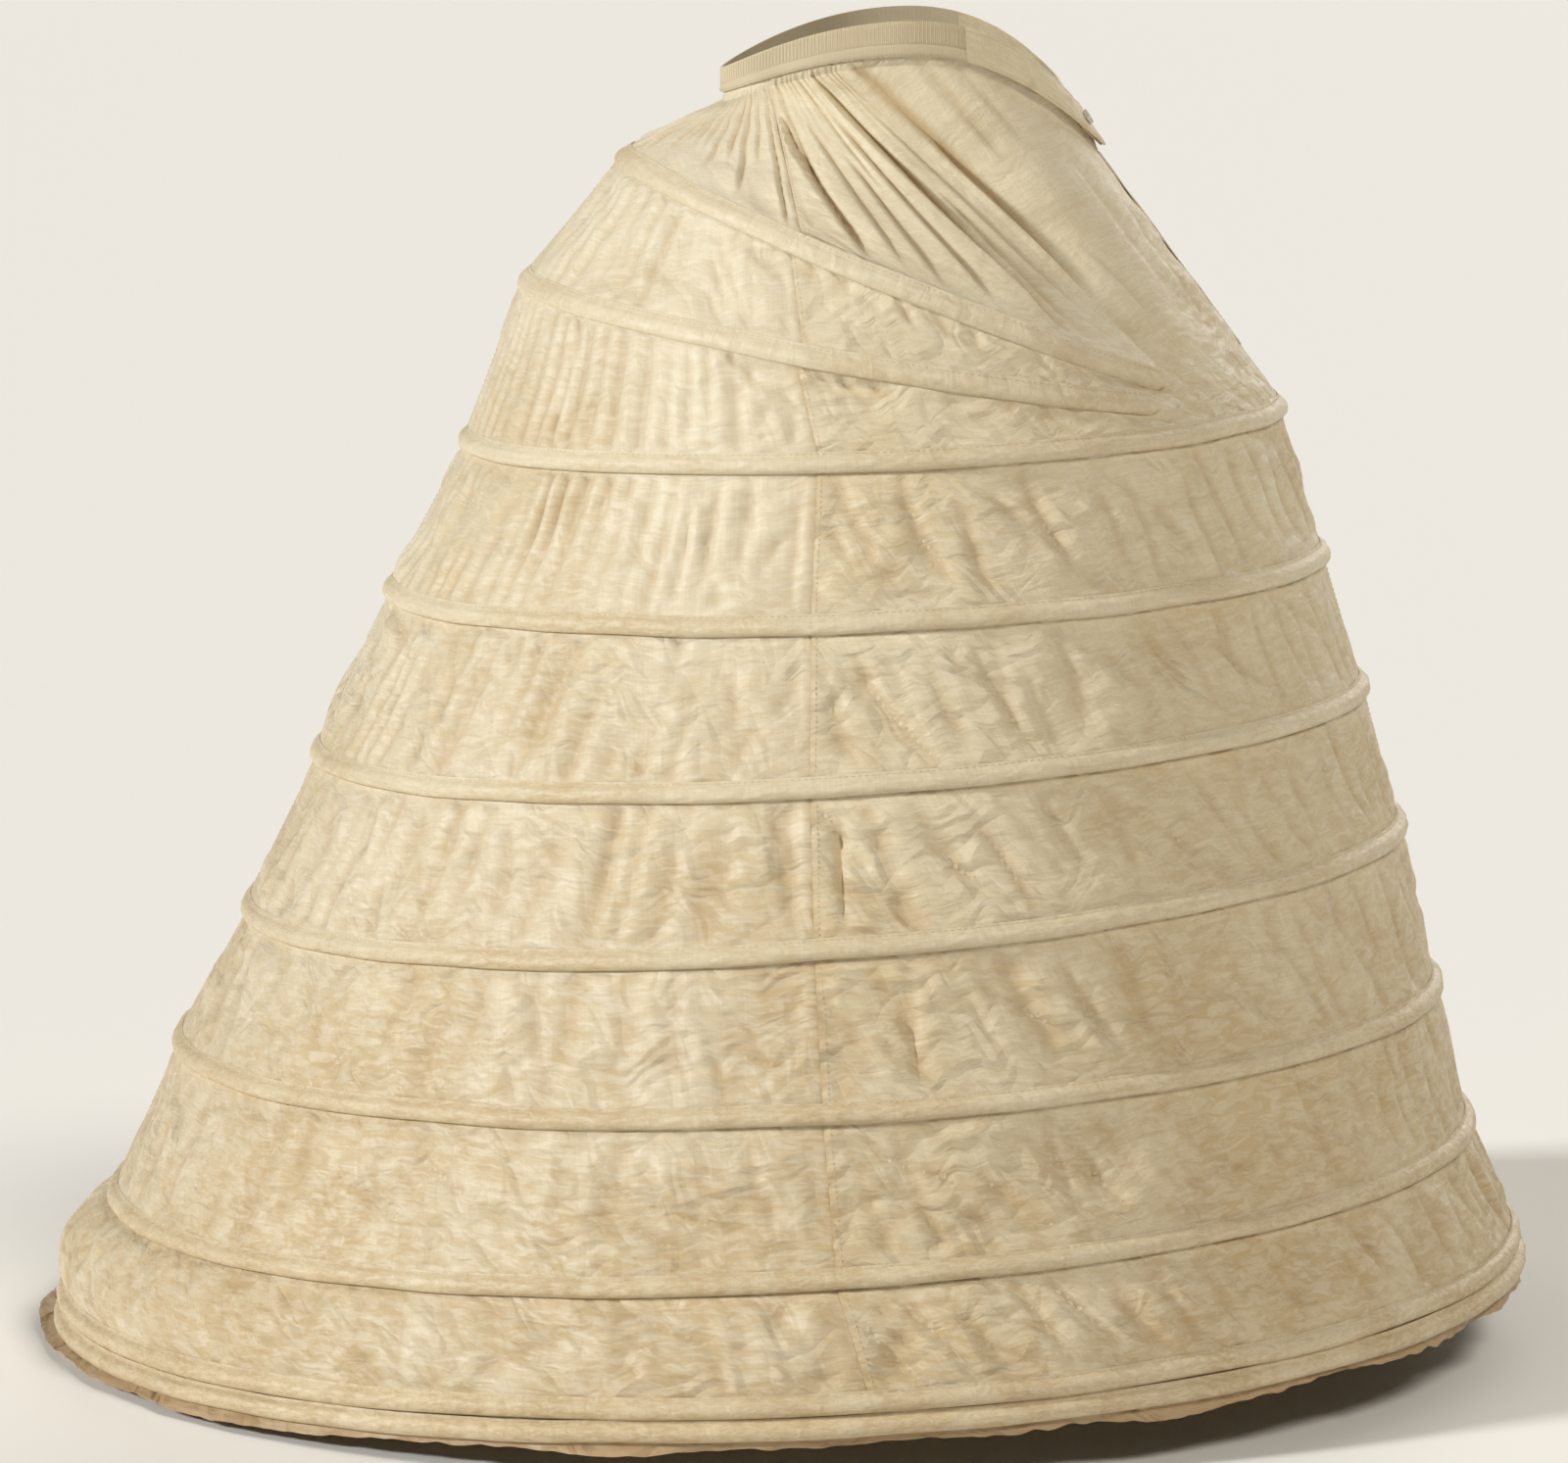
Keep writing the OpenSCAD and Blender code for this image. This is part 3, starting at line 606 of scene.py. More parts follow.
backLook = dict(firstColumn=21.3, lastColumn=39.6, drift=(-0.5, 0.5), depth=(2.4, 4.6), width=(0.36, 0.55),
                start=1.05, end=(-0.05, 0.4), step=(1.25, 2.2))
otherLook = dict(drift=(-0.4, 0.4), depth=(0.75, 1.1))


def backFolds(seed):
    draw = np.random.default_rng(seed)
    look = backLook
    found = []
    column = look["firstColumn"]
    while column < look["lastColumn"]:
        found.append((column, column + draw.uniform(*look["drift"]), draw.uniform(*look["depth"]),
                      draw.uniform(*look["width"]), look["start"], draw.uniform(*look["end"])))
        column += draw.uniform(*look["step"])
    return found


def otherFolds(seed):
    draw = np.random.default_rng(seed)
    drift = otherLook["drift"]
    return [(a + draw.uniform(*drift), b + draw.uniform(*drift), d * draw.uniform(*otherLook["depth"]),
             w, s, e) for a, b, d, w, s, e in seenFolds]


fanFolds = {-1: seenFolds + backFolds(11), 1: otherFolds(23) + backFolds(29)}
fanLook = dict(startEase=0.14, endEase=0.2, flatter=0.45, roll=0.6, rollReach=2.4, valley=1.1,
               valleyReach=0.95, lip=0.22, pleat=0.9, pleatPitch=0.85, pleatReach=0.13,
               pleatFrom=3, pleatFull=5, slack=1.1)


def fanDepth(column, share, side):
    look = fanLook
    depth = np.zeros(np.broadcast(column, share).shape)
    nearBand = 1 - look["flatter"] * smooth(share * 2.5 - 1.5)
    for atWaist, atHoop, deep, width, start, end in fanFolds[side]:
        off = (column - mix(atHoop, atWaist, share)) / width
        reach = smooth((start - share) / look["startEase"]) * smooth((share - end) / look["endEase"])
        reach = reach * nearBand
        roll = look["roll"] * np.exp(-np.maximum(off, 0) / look["rollReach"])
        valley = -look["valley"] * np.exp(np.minimum(off, 0) / look["valleyReach"])
        depth += deep * reach * mix(valley, roll, 0.5 + 0.5 * np.tanh(off / look["lip"]))
    full = smooth((column - look["pleatFrom"]) / look["pleatFull"])
    pleat = np.sin(column * 2 * math.pi / look["pleatPitch"] + 1.3 * np.sin(column * 1.9))
    depth += look["pleat"] * full * pleat * np.exp(-(1 - share) / look["pleatReach"])
    slack = look["slack"] * hills(column * 12, share * 160, (70, 45), 5 + side)
    return depth + slack * smooth((1 - share) * 4)


# Distance across a turned and bowed line on the cloth, and a reach that fades to the line's ends
def acrossLine(u, w, u0, w0, turn, length, bow):
    along = (u - u0) * cosd(turn) + (w - w0) * sind(turn)
    across = (w - w0) * cosd(turn) - (u - u0) * sind(turn)
    nearEnd = (2 * along / length) ** 2
    return across - bow * nearEnd, np.clip(1 - nearEnd, 0, 1)


# Creases between two hoops: place along and down the cloth, turn from level, length, half width, height, bow
def creaseDepth(u, w, creases):
    depth = np.zeros(np.broadcast(u, w).shape)
    for u0, w0, turn, length, width, height, bow in creases:
        u0 = u0 + (u.max() if u0 < 0 else 0)  # a place below zero counts from the side seam
        across, reach = acrossLine(u, w, u0, w0, turn, length, bow)
        depth += height * reach / np.cosh(np.clip(across / width, -30, 30)) ** 2
    return depth


# Flutes of the back: upright ripples that run from one casing to the next, with a value for each band
fluteLook = dict(depth=(1.3, 2.3, 2.5, 2.6, 2.0, 1.2, 0.9, 0.8), pitch=(20, 18, 18, 25, 30, 34, 36, 30),
                 lean=(0, 0, 0.03, 0.2, 0.16, 0.1, 0.1, 0.1), wander=0.22, typical=0.7, vary=0.5,
                 limits=(0.08, 1.3), firstColumn=21.2, calmColumn=31, calmShare=0.4)


def fluteDepth(u, w, column, band, seed):
    look = fluteLook
    turn = (u - look["lean"][band] * w) / look["pitch"][band]
    turn = turn + look["wander"] * hills(u, 0 * u, (110, 64), seed)
    strength = look["typical"] + look["vary"] * hills(u, 0.6 * w, (150, 80), seed + 1)
    strength = np.clip(strength, *look["limits"])
    toBack = mix(1, look["calmShare"], smooth((column - look["calmColumn"]) / 6))
    across = smooth((column - look["firstColumn"]) / 3) * toBack
    ripple = 0.5 * np.cos(2 * math.pi * turn) + np.abs(np.cos(math.pi * turn)) - 0.5
    return look["depth"][band] * strength * across * ripple


# Pressed creases: one side of each line stands a little higher. A turn has a mean and a spread.
pressedLook = dict(room=4200, length=(45, 160), width=(2.2, 3.6), height=(0.9, 2.7), bow=3, fade=15,
                   front=dict(steep=(122, 12), shallow=(152, 9), shallowShare=0.45),
                   back=dict(steep=(103, 10), shallow=(157, 8), shallowShare=0.65))


def pressedDepth(u, w, part, wide, tall, seed):
    draw = np.random.default_rng(seed)
    look = pressedLook
    turns = look[part]
    depth = np.zeros(np.broadcast(u, w).shape)
    for _ in range(int(wide * tall / look["room"])):
        u0 = draw.uniform(0, wide)
        w0 = draw.uniform(0, tall)
        steep = draw.normal(*turns["steep"])
        shallow = draw.normal(*turns["shallow"])
        turn = shallow if draw.random() < turns["shallowShare"] else steep
        length = draw.uniform(*look["length"])
        width = draw.uniform(*look["width"])
        height = draw.choice([-1, 1]) * draw.uniform(*look["height"])
        across, reach = acrossLine(u, w, u0, w0, turn, length, draw.normal(0, look["bow"]))
        depth += height * reach ** 0.5 * np.tanh(across / width) * np.exp(-np.abs(across) / look["fade"])
    return depth


# Random creases of a band: long hollows from hoop to hoop, short ones beside the side seam, and small ones
hollowLook = dict(front=dict(middle=(0.35, 0.65), turn=(100, 126), long=(0.8, 1.4), width=(3.4, 6),
                             depth=(1.4, 3.6), bow=3, step=(20, 46)),
                  back=dict(middle=(0.42, 0.58), turn=(90, 6), long=(0.6, 1.1), width=(5, 8),
                            depth=(0.8, 2.2), bow=2, step=(30, 70)))
besideLook = dict(count=8, reach=(8, 62), down=(0.1, 0.95), turns=((55, 9), (125, 9)), long=(22, 55),
                  width=(3, 4.4), depth=(0.8, 2.4))
smallLook = dict(room=1500, turns=((115, 14), (165, 12)), long=(18, 70), width=(3.0, 5.5), height=(0.6, 1.6),
                 bow=1.5)


def bandCreases(part, wide, tall, seed):
    draw = np.random.default_rng(seed)
    found = []

    def eitherTurn(turns):
        return draw.choice([draw.normal(*turns[0]), draw.normal(*turns[1])])

    look = hollowLook[part]
    turned = draw.normal if part == "back" else draw.uniform
    u = draw.uniform(4, 14)
    while u < wide - 6:
        found.append((u, tall * draw.uniform(*look["middle"]), turned(*look["turn"]),
                      tall * draw.uniform(*look["long"]), draw.uniform(*look["width"]),
                      -draw.uniform(*look["depth"]), draw.normal(0, look["bow"])))
        u += draw.uniform(*look["step"])
    look = besideLook
    for _ in range(look["count"]):
        near = draw.uniform(*look["reach"])
        found.append((near if part == "back" else wide - near, tall * draw.uniform(*look["down"]),
                      eitherTurn(look["turns"]), draw.uniform(*look["long"]), draw.uniform(*look["width"]),
                      -draw.uniform(*look["depth"]), 0))
    look = smallLook
    for _ in range(int(wide * tall / look["room"])):
        found.append((draw.uniform(0, wide), draw.uniform(0, tall), eitherTurn(look["turns"]),
                      draw.uniform(*look["long"]), draw.uniform(*look["width"]),
                      draw.choice([-1, 1]) * draw.uniform(*look["height"]), draw.normal(0, look["bow"])))
    return found


# Creases that the seen side shows singly: beside the side seam, and long slanting ones low down
handCreases = {
    ("front_right_gore", 2): [(-70, 45, 118, 90, 3.6, -3.2, 3), (-150, 40, 112, 95, 3.6, -3.0, -2)],
    ("front_right_gore", 3): [(-50, 50, 128, 80, 3.6, -3.0, 2), (-120, 46, 116, 100, 3.6, -3.2, 3)],
    ("front_right_gore", 4): [(-18, 48, 91, 96, 3.2, -4.2, 2), (-95, 52, 140, 90, 3.6, -2.8, 2)],
    ("front_right_gore", 5): [(-58, 45, 92, 90, 3.4, -3.8, 2), (-130, 40, 150, 120, 3.6, -3.0, 3)],
    ("front_right_gore", 6): [(-57, 30, 155, 95, 3.6, -3.4, 2), (-82, 66, 28, 80, 3.6, -2.8, 0),
                              (-170, 44, 152, 130, 3.8, -3.0, 4)],
    ("back_right_gore", 5): [(30, 62, 162, 62, 3.4, -4.0, 0), (110, 58, 168, 110, 3.8, -3.2, 3),
                             (210, 38, 178, 300, 3.0, -1.8, -4)],
    ("back_right_gore", 6): [(120, 44, 162, 190, 3.8, -4.2, 6), (250, 36, 154, 110, 3.8, -3.6, 3),
                             (45, 30, 98, 70, 3.6, -3.4, 3), (330, 45, 158, 120, 4.2, -2.6, -4)],
    ("back_right_gore", 7): [(95, 28, 160, 150, 4.0, -3.6, 4), (190, 30, 22, 110, 4.0, -3.2, 3),
                             (270, 30, 158, 90, 4.0, -2.8, 3)],
}
# The gores' cloth in millimetres. Lifts stand out from the hoops: at the top hoop and at the hem, or on the
# front above and below a half hoop's line. Calm is how much of the fine crumple is taken away.
clothLook = dict(columns=158, thick=0.5, puff=-0.5, hemPuff=17, liftAbove=(2.9, 1.7), liftBelow=(1.2, 0.5),
                 liftBehind=1.4, halfLift=1.1, upperFront=(2.2, 2.4), lowerFront=(2.5, 2.8), gatherSlope=32,
                 slack=1.3, fullHeight=40, edgeEase=0.7, sideEase=14, fanEase=0.06, creaseEase=0.12,
                 fluteEase=0.05, rawEdge=6, rawWave=2.2, rawNibble=0.7, rawCurl=0.8, arc=22,
                 fanCalm=0.7, fluteCalm=0.45, flutedBands=4)
# The raw edge's flare at the back, with its first column on each side and a bump on the far side
flareLook = dict(out=15, first={-1: 26, 1: 22}, run=15, bump={-1: 0, 1: 8}, bumpColumn=34, bumpWidth=3.5,
                 wave=1.5, liftFrom=6, lift=0.35)
seamLook = dict(lap=0.55, lapWidth=7, pucker=0.8, puckerPitch=13, puckerReach=11, sink=0.8, sinkReach=2.5,
                soil=0.45, soilReach=2.2)
# Painted shade in the cloth's narrow hollows: blur width in grid columns, hollow depth in mm for full shade,
# and its share on the inner face
creaseShadeLook = dict(blur=5, depth=1.6, inside=0.3)
# rows of cloth between one held line and the next
spans = [("tuck", 3), ("fan", 46), ("held", 2), ("cloth", 16), ("held", 2), ("cloth", 19), ("held", 2)]
spans += [("cloth", 21), ("held", 2)] * 5
spans += [("hemBand", 16), ("held", 2), ("pair", 1), ("held", 2), ("raw", 5)]


# The lines that waist and hoops hold, down to the raw edge, and the way out of the cloth at each
def heldLines(column, side):
    look = clothLook
    lines = [tucked(column), root(column)]
    for half in (upperFrame, lowerFrame):
        lines += [halfRow(half, up, column) for up in (casingTop, casingBottom)]
    waistOut = bandOut(waistAngle(column))
    gatherOut = skinOut(hoopAngle(0, column), look["gatherSlope"])
    outs = [waistOut, waistOut] + [gatherOut] * 4
    for i, hoop in enumerate(hoopFrame):
        for up in (casingTop, casingBottom):
            lines.append(beside(hoop, -casing["clothGap"], up, hoopAngle(i, column)))
            outs.append(skinOut(hoopAngle(i, column), hoop["slope"]))
    arc = column * look["arc"]
    wave = look["rawWave"] * hills(arc, 0 * column, (150, 60), 71)
    wave = wave + look["rawNibble"] * hills(arc, 0 * column, (13, 8), 72)
    edge = beside(hoopFrame[-1], -casing["clothGap"], casingBottom - look["rawEdge"] + wave,
                  hoopAngle(lastHoop, column))
    look = flareLook
    bump = look["bump"][side] * np.exp(-((column - look["bumpColumn"]) / look["bumpWidth"]) ** 2)
    flare = (look["out"] + bump) * smooth((column - look["first"][side]) / look["run"])
    flare = flare + look["wave"] * hills(arc, 0 * column, (120, 50), 73)
    lift = np.array([0, 0, 1]) * (look["lift"] * np.maximum(flare - look["liftFrom"], 0))[:, None]
    lines.append(edge + flare[:, None] * outs[-1] + lift)
    outs.append(outs[-1])
    return lines, outs


# How far each held line stands out, and the share of each half hoop's dip behind its casing
def heldLifts(column):
    level = 0 * column
    above = [mix(*clothLook["liftAbove"], i / lastHoop) for i in range(hoopCount)]
    below = [mix(*clothLook["liftBelow"], i / lastHoop) for i in range(hoopCount)]
    lifts = [level, level]
    dips = {}
    for half, front in ((upperFrame, clothLook["upperFront"]), (lowerFrame, clothLook["lowerFront"])):
        onHalf = smooth((column - half["first"] + 0.4) / 0.9)
        dips[len(lifts)] = onHalf
        lifts += [mix(front[0], above[0] + clothLook["halfLift"], onHalf),
                  mix(front[1], below[0] + clothLook["halfLift"], onHalf)]
    for i in range(hoopCount):
        lifts += [level + above[i], level + below[i]]
    return lifts + [level + below[-1]], dips


# Creases, flutes and hang of the cloth between two hoops
def bandRise(node, kind, band, column, above, below, t, seed):
    part = node.split("_")[0]
    u = lengthAlong(mix(above, below, 0.5))[:, None]
    tall = np.linalg.norm(below - above, axis=1)[:, None]
    w = tall * t[None, :]
    wide = float(u[-1, 0])
    usual = float(np.median(tall))
    full = np.clip(tall / clothLook["fullHeight"], 0, 1)
    room = full * smooth(np.minimum(u, u[-1] - u) / clothLook["sideEase"])
    creases = bandCreases(part, wide, usual, seed * 50 + band) + handCreases.get((node, band), [])
    rise = creaseDepth(u, w, creases) + clothLook["slack"] * hills(u, w, (110, 60), seed + band)
    rise = rise + pressedDepth(u, w, part, wide, usual, seed * 70 + band)
    rise = rise * bothEnds(t, clothLook["creaseEase"])[None, :] * room
    if part == "back":
        flutes = fluteDepth(u, w, column[:, None], band, seed * 90 + band)
        rise = rise + flutes * bothEnds(t, clothLook["fluteEase"])[None, :] * room
    backShare = column / (2 * seams["columns"])
    puff = clothLook["hemPuff"] * backShare ** 2 if kind == "hemBand" else 0 * column + clothLook["puff"]
    return rise + puff[:, None] * (4 * t * (1 - t))[None, :] * full


# The gore's outer grid and the same grid without its relief, with the relief, the weight of the painted
# crease shade and the calm of each point
def goreGrids(node, side, column, toEdge, seed):
    lines, outs = heldLines(column, side)
    lifts, dips = heldLifts(column)
    lines = [line + lift[:, None] * out for line, lift, out in zip(lines, lifts, outs)]
    edgeEase = smooth(toEdge / clothLook["edgeEase"])[:, None]
    fluted = node.startswith("back")
    parts = []
    band = 0
    for k, (kind, count) in enumerate(spans):
        last = k == len(spans) - 1
        t = np.linspace(0, 1, count + 1)[: None if last else -1]
        grid = mix(lines[k][:, None], lines[k + 1][:, None], t[None, :, None])
        out = unit(mix(outs[k][:, None], outs[k + 1][:, None], t[None, :, None]))
        rise = np.zeros(grid.shape[:2])
        if kind == "fan":
            rise = fanDepth(column[:, None], 1 - t[None, :], side)
            rise = rise * smooth((1 - t) / clothLook["fanEase"])[None, :] * edgeEase
        elif kind in ("cloth", "hemBand"):
            rise = bandRise(node, kind, band, column, lines[k], lines[k + 1], t, seed)
            band += 1
        elif kind == "held":
            dip = np.minimum(clothLook["liftBehind"] - (lifts[k] + lifts[k + 1]) / 2, 0) * dips.get(k, 1)
            rise = dip[:, None] * np.where(t == 0, 0, 1)[None, :]
        elif kind == "raw":
            curl = hills(column[:, None] * clothLook["arc"], t[None, :] * 8, (40, 22), seed + 9)
            rise = clothLook["rawCurl"] * curl * t[None, :] * edgeEase
        relief = rise * dict(held=0, fan=0.5).get(kind, 1)
        # The fan's hollows take the full painted crease shade, the bands half of it
        soil = np.full(rise.shape, 1 if kind == "fan" else 0.5)
        bandCalm = clothLook["fluteCalm"] if fluted and band < clothLook["flutedBands"] else 0.0
        calm = np.full(rise.shape, clothLook["fanCalm"] if kind == "fan" else bandCalm)
        parts.append((grid + out * rise[..., None], grid, relief, soil, calm))
    return [np.concatenate(made, axis=1) for made in zip(*parts)]


def makeGore(node, side, material, seed):
    back = node.startswith("back")
    first = seams["columns"] if back else 0
    column = first + np.linspace(0, seams["columns"], clothLook["columns"] + 1)
    toEdge = np.minimum(column - first, first + seams["columns"] - column)
    outer, plain, relief, soil, calm = goreGrids(node, side, column, toEdge, seed)
    along = lengthAlong(plain)
    down = lengthAlong(plain, axis=1)
    height = down[:, -1:] - down
    toSeam = along if back else along[-1:] - along
    look = seamLook
    puckers = np.sin(height * 2 * math.pi / look["puckerPitch"] + 2 * np.sin(height / 23))
    puckers = puckers * np.exp(-toSeam / look["puckerReach"]) * smooth(toSeam / 4)
    puckers = look["pucker"] * puckers - look["sink"] * np.exp(-toSeam / look["sinkReach"])
    lap = 0 if back else look["lap"]
    # Painted crease shade: where the relief lies below its blurred neighbours the cloth is marked darker;
    # beside the seams the same mark also holds the seams' soil
    blur = creaseShadeLook["blur"]
    around = sum(np.roll(relief, k, axis=0) for k in range(-blur, blur + 1)) / (2 * blur + 1)
    furrow = np.clip((around - relief) / creaseShadeLook["depth"], 0, 1) * soil
    furrow = np.maximum(furrow, look["soil"] * np.exp(-toSeam / look["soilReach"])).ravel()
    outer = outer + gridOut(outer) * (lap * smooth((look["lapWidth"] - toSeam) / 2) + puckers)[..., None]
    inner = outer - gridOut(outer) * clothLook["thick"]
    outer = outer * [1, side, 1]
    points, faces = thinSheet(outer, inner * [1, side, 1], flip=side < 0)
    marks = dict(furrow=np.concatenate([furrow, creaseShadeLook["inside"] * furrow]),
                 calm=np.tile(calm.ravel(), 2))
    uv = sheetMap(along * mm, height * mm)
    return addCloth(node, points, faces, material, "cotton", uv, marks=marks), outer


clothPieces = {}
for node, side, material, seed in (("front_right_gore", -1, shadedFrontCotton, 3),
                                   ("front_left_gore", 1, shadedFrontCotton, 4),
                                   ("back_right_gore", -1, litBackCotton, 5),
                                   ("back_left_gore", 1, litBackCotton, 6)):
    clothPieces[node] = makeGore(node, side, material, seed)
print("gores made")

# Stitches: small pointed lozenges along a path, each lying on the cloth
stitchLook = dict(pitch=4.2, long=2.9, thick=0.32, lift=0.12)
stitchFaces = np.array([[2, 4, 0], [2, 0, 5], [2, 5, 1], [2, 1, 4],
                        [3, 0, 4], [3, 5, 0], [3, 1, 5], [3, 4, 1]])


def sampled(values, run, places):
    return np.stack([np.interp(places, run, values[:, k]) for k in range(3)], -1)


def makeStitches(name, paths, **changes):
    look = dict(stitchLook, **changes)
    points = []
    faces = []
    for line, out in paths:
        run = lengthAlong(line)
        centres = np.arange(look["pitch"], run[-1] - look["pitch"], look["pitch"])
        if len(centres) == 0:
            continue
        spot = sampled(line, run, centres)
        along = unit(sampled(line, run, centres + 0.5) - spot)
        away = unit(sampled(out, run, centres))
        aside = np.cross(away, along)
        spot = spot + away * look["lift"]
        half = look["long"] / 2
        ring = [spot - along * half, spot + along * half,
                spot + away * look["thick"], spot - away * look["thick"],
                spot + aside * look["thick"], spot - aside * look["thick"]]
        start = sum(len(made) for made in points)
        points.append(np.stack(ring, 1).reshape(-1, 3))
        first = np.arange(len(centres))[:, None, None] * len(ring)
        faces.append((first + stitchFaces[None] + start).reshape(-1, 3))
    addPiece(name, np.concatenate(points), np.concatenate(faces), thread, "sewing_thread", sharp=80)


# Casings: profiles from the top edge over the tube and round behind it, as distances out and up
casingLook = dict(endRound=9, endNarrow=0.45, step=7, wander=0.45, wrinkle=0.22, ripple=0.3, deepest=-0.25,
                  proudFrom=2.6, proudFull=2.5, pointPitch=2.2, lap=40, stitchRow=3)
topProfile = np.array([(2.75, 8.0), (3.05, 8.15), (3.2, 7.4), (3.25, 6.6), (3.4, 5.8), (3.8, 5.0), (4.6, 4.1),
                       (5.35, 3.0), (5.85, 1.7), (6.05, 0), (5.85, -1.9), (5.3, -3.6), (4.4, -4.8),
                       (3.2, -5.5), (2.0, -5.5), (1.3, -4.9), (1.4, -3.0), (2.05, 2.5)])
hemProfile = np.array([(1.55, 8.0), (1.85, 8.15), (2.0, 7.4), (2.05, 6.6), (2.35, 5.9), (3.1, 5.3),
                       (4.35, 4.4), (5.4, 3.2), (6.1, 1.7), (6.35, 0), (6.1, -1.9), (5.4, -3.6),
                       (4.3, -4.9), (2.9, -5.6), (1.5, -5.5), (0.7, -4.8), (0.9, -3.0), (1.3, 2.5)])
halfProfile = np.array([(3.75, 9.2), (3.95, 9.0), (4.05, 8.2), (4.1, 6.9), (4.3, 5.6), (4.8, 4.3), (5.3, 2.8),
                        (5.6, 1.2), (5.65, -0.4), (5.5, -1.9), (5.1, -3.4), (4.4, -4.9), (3.7, -5.8),
                        (3.0, -6.4), (2.3, -6.4), (1.6, -5.4), (1.4, -3.0), (2.2, 2.5)])


def casingSurface(hoop, profile, angle, seed, narrow=1.0):
    look = casingLook
    arc = np.radians(angle) * hoop["radius"]
    run = arc[:, None]
    around = (np.arange(len(profile)) * look["pointPitch"])[None, :]
    swell = look["ripple"] * hills(run, around, (60, 28), seed)
    swell = swell + look["wrinkle"] * hills(run + 0.4 * around, around * 0.3, (17, 11), seed + 1)
    proud = np.clip((profile[:, 0] - look["proudFrom"]) / look["proudFull"], 0, 1)[None, :]
    out = profile[None, :, 0] + np.maximum(swell, look["deepest"]) * proud
    up = profile[None, :, 1] * narrow + look["wander"] * hills(arc, 0 * arc, (210, 90), seed + 2)[:, None]
    return beside(hoop, out, up, angle[:, None]), arc


def makeCasing(node, hoop, profile, start, end, seed):
    look = casingLook
    whole = end - start >= 360
    length = math.radians(end - start) * hoop["radius"]
    count = int(length / look["step"])
    angle = start + (end - start) * np.arange(count + (0 if whole else 1)) / count
    toEnd = np.radians(np.minimum(angle - start, end - angle)) * hoop["radius"] / look["endRound"]
    endRound = np.sqrt(1 - (1 - np.clip(toEnd, 0, 1)) ** 2)[:, None]
    narrow = 1.0 if whole else look["endNarrow"] + (1 - look["endNarrow"]) * endRound
    grid, arc = casingSurface(hoop, profile, angle, seed, narrow)
    if whole:
        blend = smooth(np.arange(count) / look["lap"])[:, None, None]
        lapped, _ = casingSurface(hoop, profile, angle + 360, seed)
        grid = mix(lapped, grid, blend)
    columns, rows = grid.shape[:2]
    faces = list(gridQuads(columns, rows, wrapColumns=whole, wrapRows=True))
    ring = np.arange(rows)
    caps = [] if whole else [ring[::-1], ring + (columns - 1) * rows]
    width = lengthAlong(grid[0])
    uv = np.stack(np.broadcast_arrays(arc[:, None] * mm, width[None, :] * mm), -1).reshape(-1, 2)
    piece = addCloth(node, grid.reshape(-1, 3), faces + caps, casingCotton, "casing_cotton", uv, sharp=75)
    line = grid[:, look["stitchRow"]]
    if whole:
        line = np.concatenate([line, line[:1]])
        angle = np.concatenate([angle, angle[:1]])
    return piece, length * mm, (line, skinOut(angle, hoop["slope"]))


casingPieces = {}
for i, hoop in enumerate(hoopFrame):
    node = f"hoop_casing_{i + 1}"
    profile = mix(topProfile, hemProfile, i / lastHoop)
    casingPieces[node] = makeCasing(node, hoop, profile, 0, 360, 300 + 7 * i)
for node, half, seed in (("upper_half_casing", upperFrame, 401), ("lower_half_casing", lowerFrame, 409)):
    casingPieces[node] = makeCasing(node, half, halfProfile, half["end"], 360 - half["end"], seed)
makeStitches("casingStitches", [path for _, _, path in casingPieces.values()])
print("casings made")


# Seam stitches run beside the side seams and down the back from the waistband, and down the front
# from the second hoop
def seamLine(node, index, rowStart):
    outer = clothPieces[node][1]
    away = gridOut(outer)[index, rowStart:] * (-1 if "right" in node else 1)
    return outer[index, rowStart:], away


seamStart = 6
frontStart = sum(count for _, count in spans[:8])
fronts = ("front_right_gore", "front_left_gore")
seamPaths = [seamLine(node, -2, seamStart) for node in fronts + ("back_right_gore", "back_left_gore")]
seamPaths += [seamLine(node, 1, frontStart) for node in fronts]
makeStitches("seamStitches", seamPaths, pitch=3.6, long=2.4, thick=0.28)
# An old mend: a wandering line of small stitches below the fourth hoop of the seen back
mend = dict(spansAbove=13, row=11, first=28, last=108)
mendRow = sum(count for _, count in spans[:mend["spansAbove"]]) + mend["row"]
mendGrid = clothPieces["back_right_gore"][1]
mendPick = np.arange(mend["first"], mend["last"])
mendWander = np.round(1.2 * np.sin(mendPick / 9) + 0.8 * np.sin(mendPick / 4.1)).astype(int)
mendPath = mendGrid[mendPick, mendRow + mendWander]
mendOut = -gridOut(mendGrid)[mendPick, mendRow + mendWander]
makeStitches("mendStitches", [(mendPath, mendOut)], pitch=5.5, long=4.2, thick=0.3)
print("seams stitched")

# Waistband: ribbed tape behind, plain cotton bands in front
bandLook = dict(cordDepth=0.16, joinAngle=75, joinGap=0.1, lapAngle=2, underlapAngle=-27, underlapStart=30,
                underlapFull=14, tapeColumns=740, rightColumns=110, leftColumns=130, rim=0.6, foldShare=0.345,
                foldDepth=0.35, tapeSlack=0.35, grooves=(0.9, 0.12), grooveDepth=0.25, plainSlack=0.32,
                leftLimit=0.2)
tapeShare = np.array([1, 0.985, 0.95, 0.86, 0.74, 0.62, 0.5, 0.42, 0.37, 0.345, 0.32, 0.26, 0.16, 0.07,
                      0.02, 0])
plainShare = np.concatenate([[1, 0.985, 0.95], np.linspace(0.9, 0.1, 12), [0.05, 0.015, 0]])


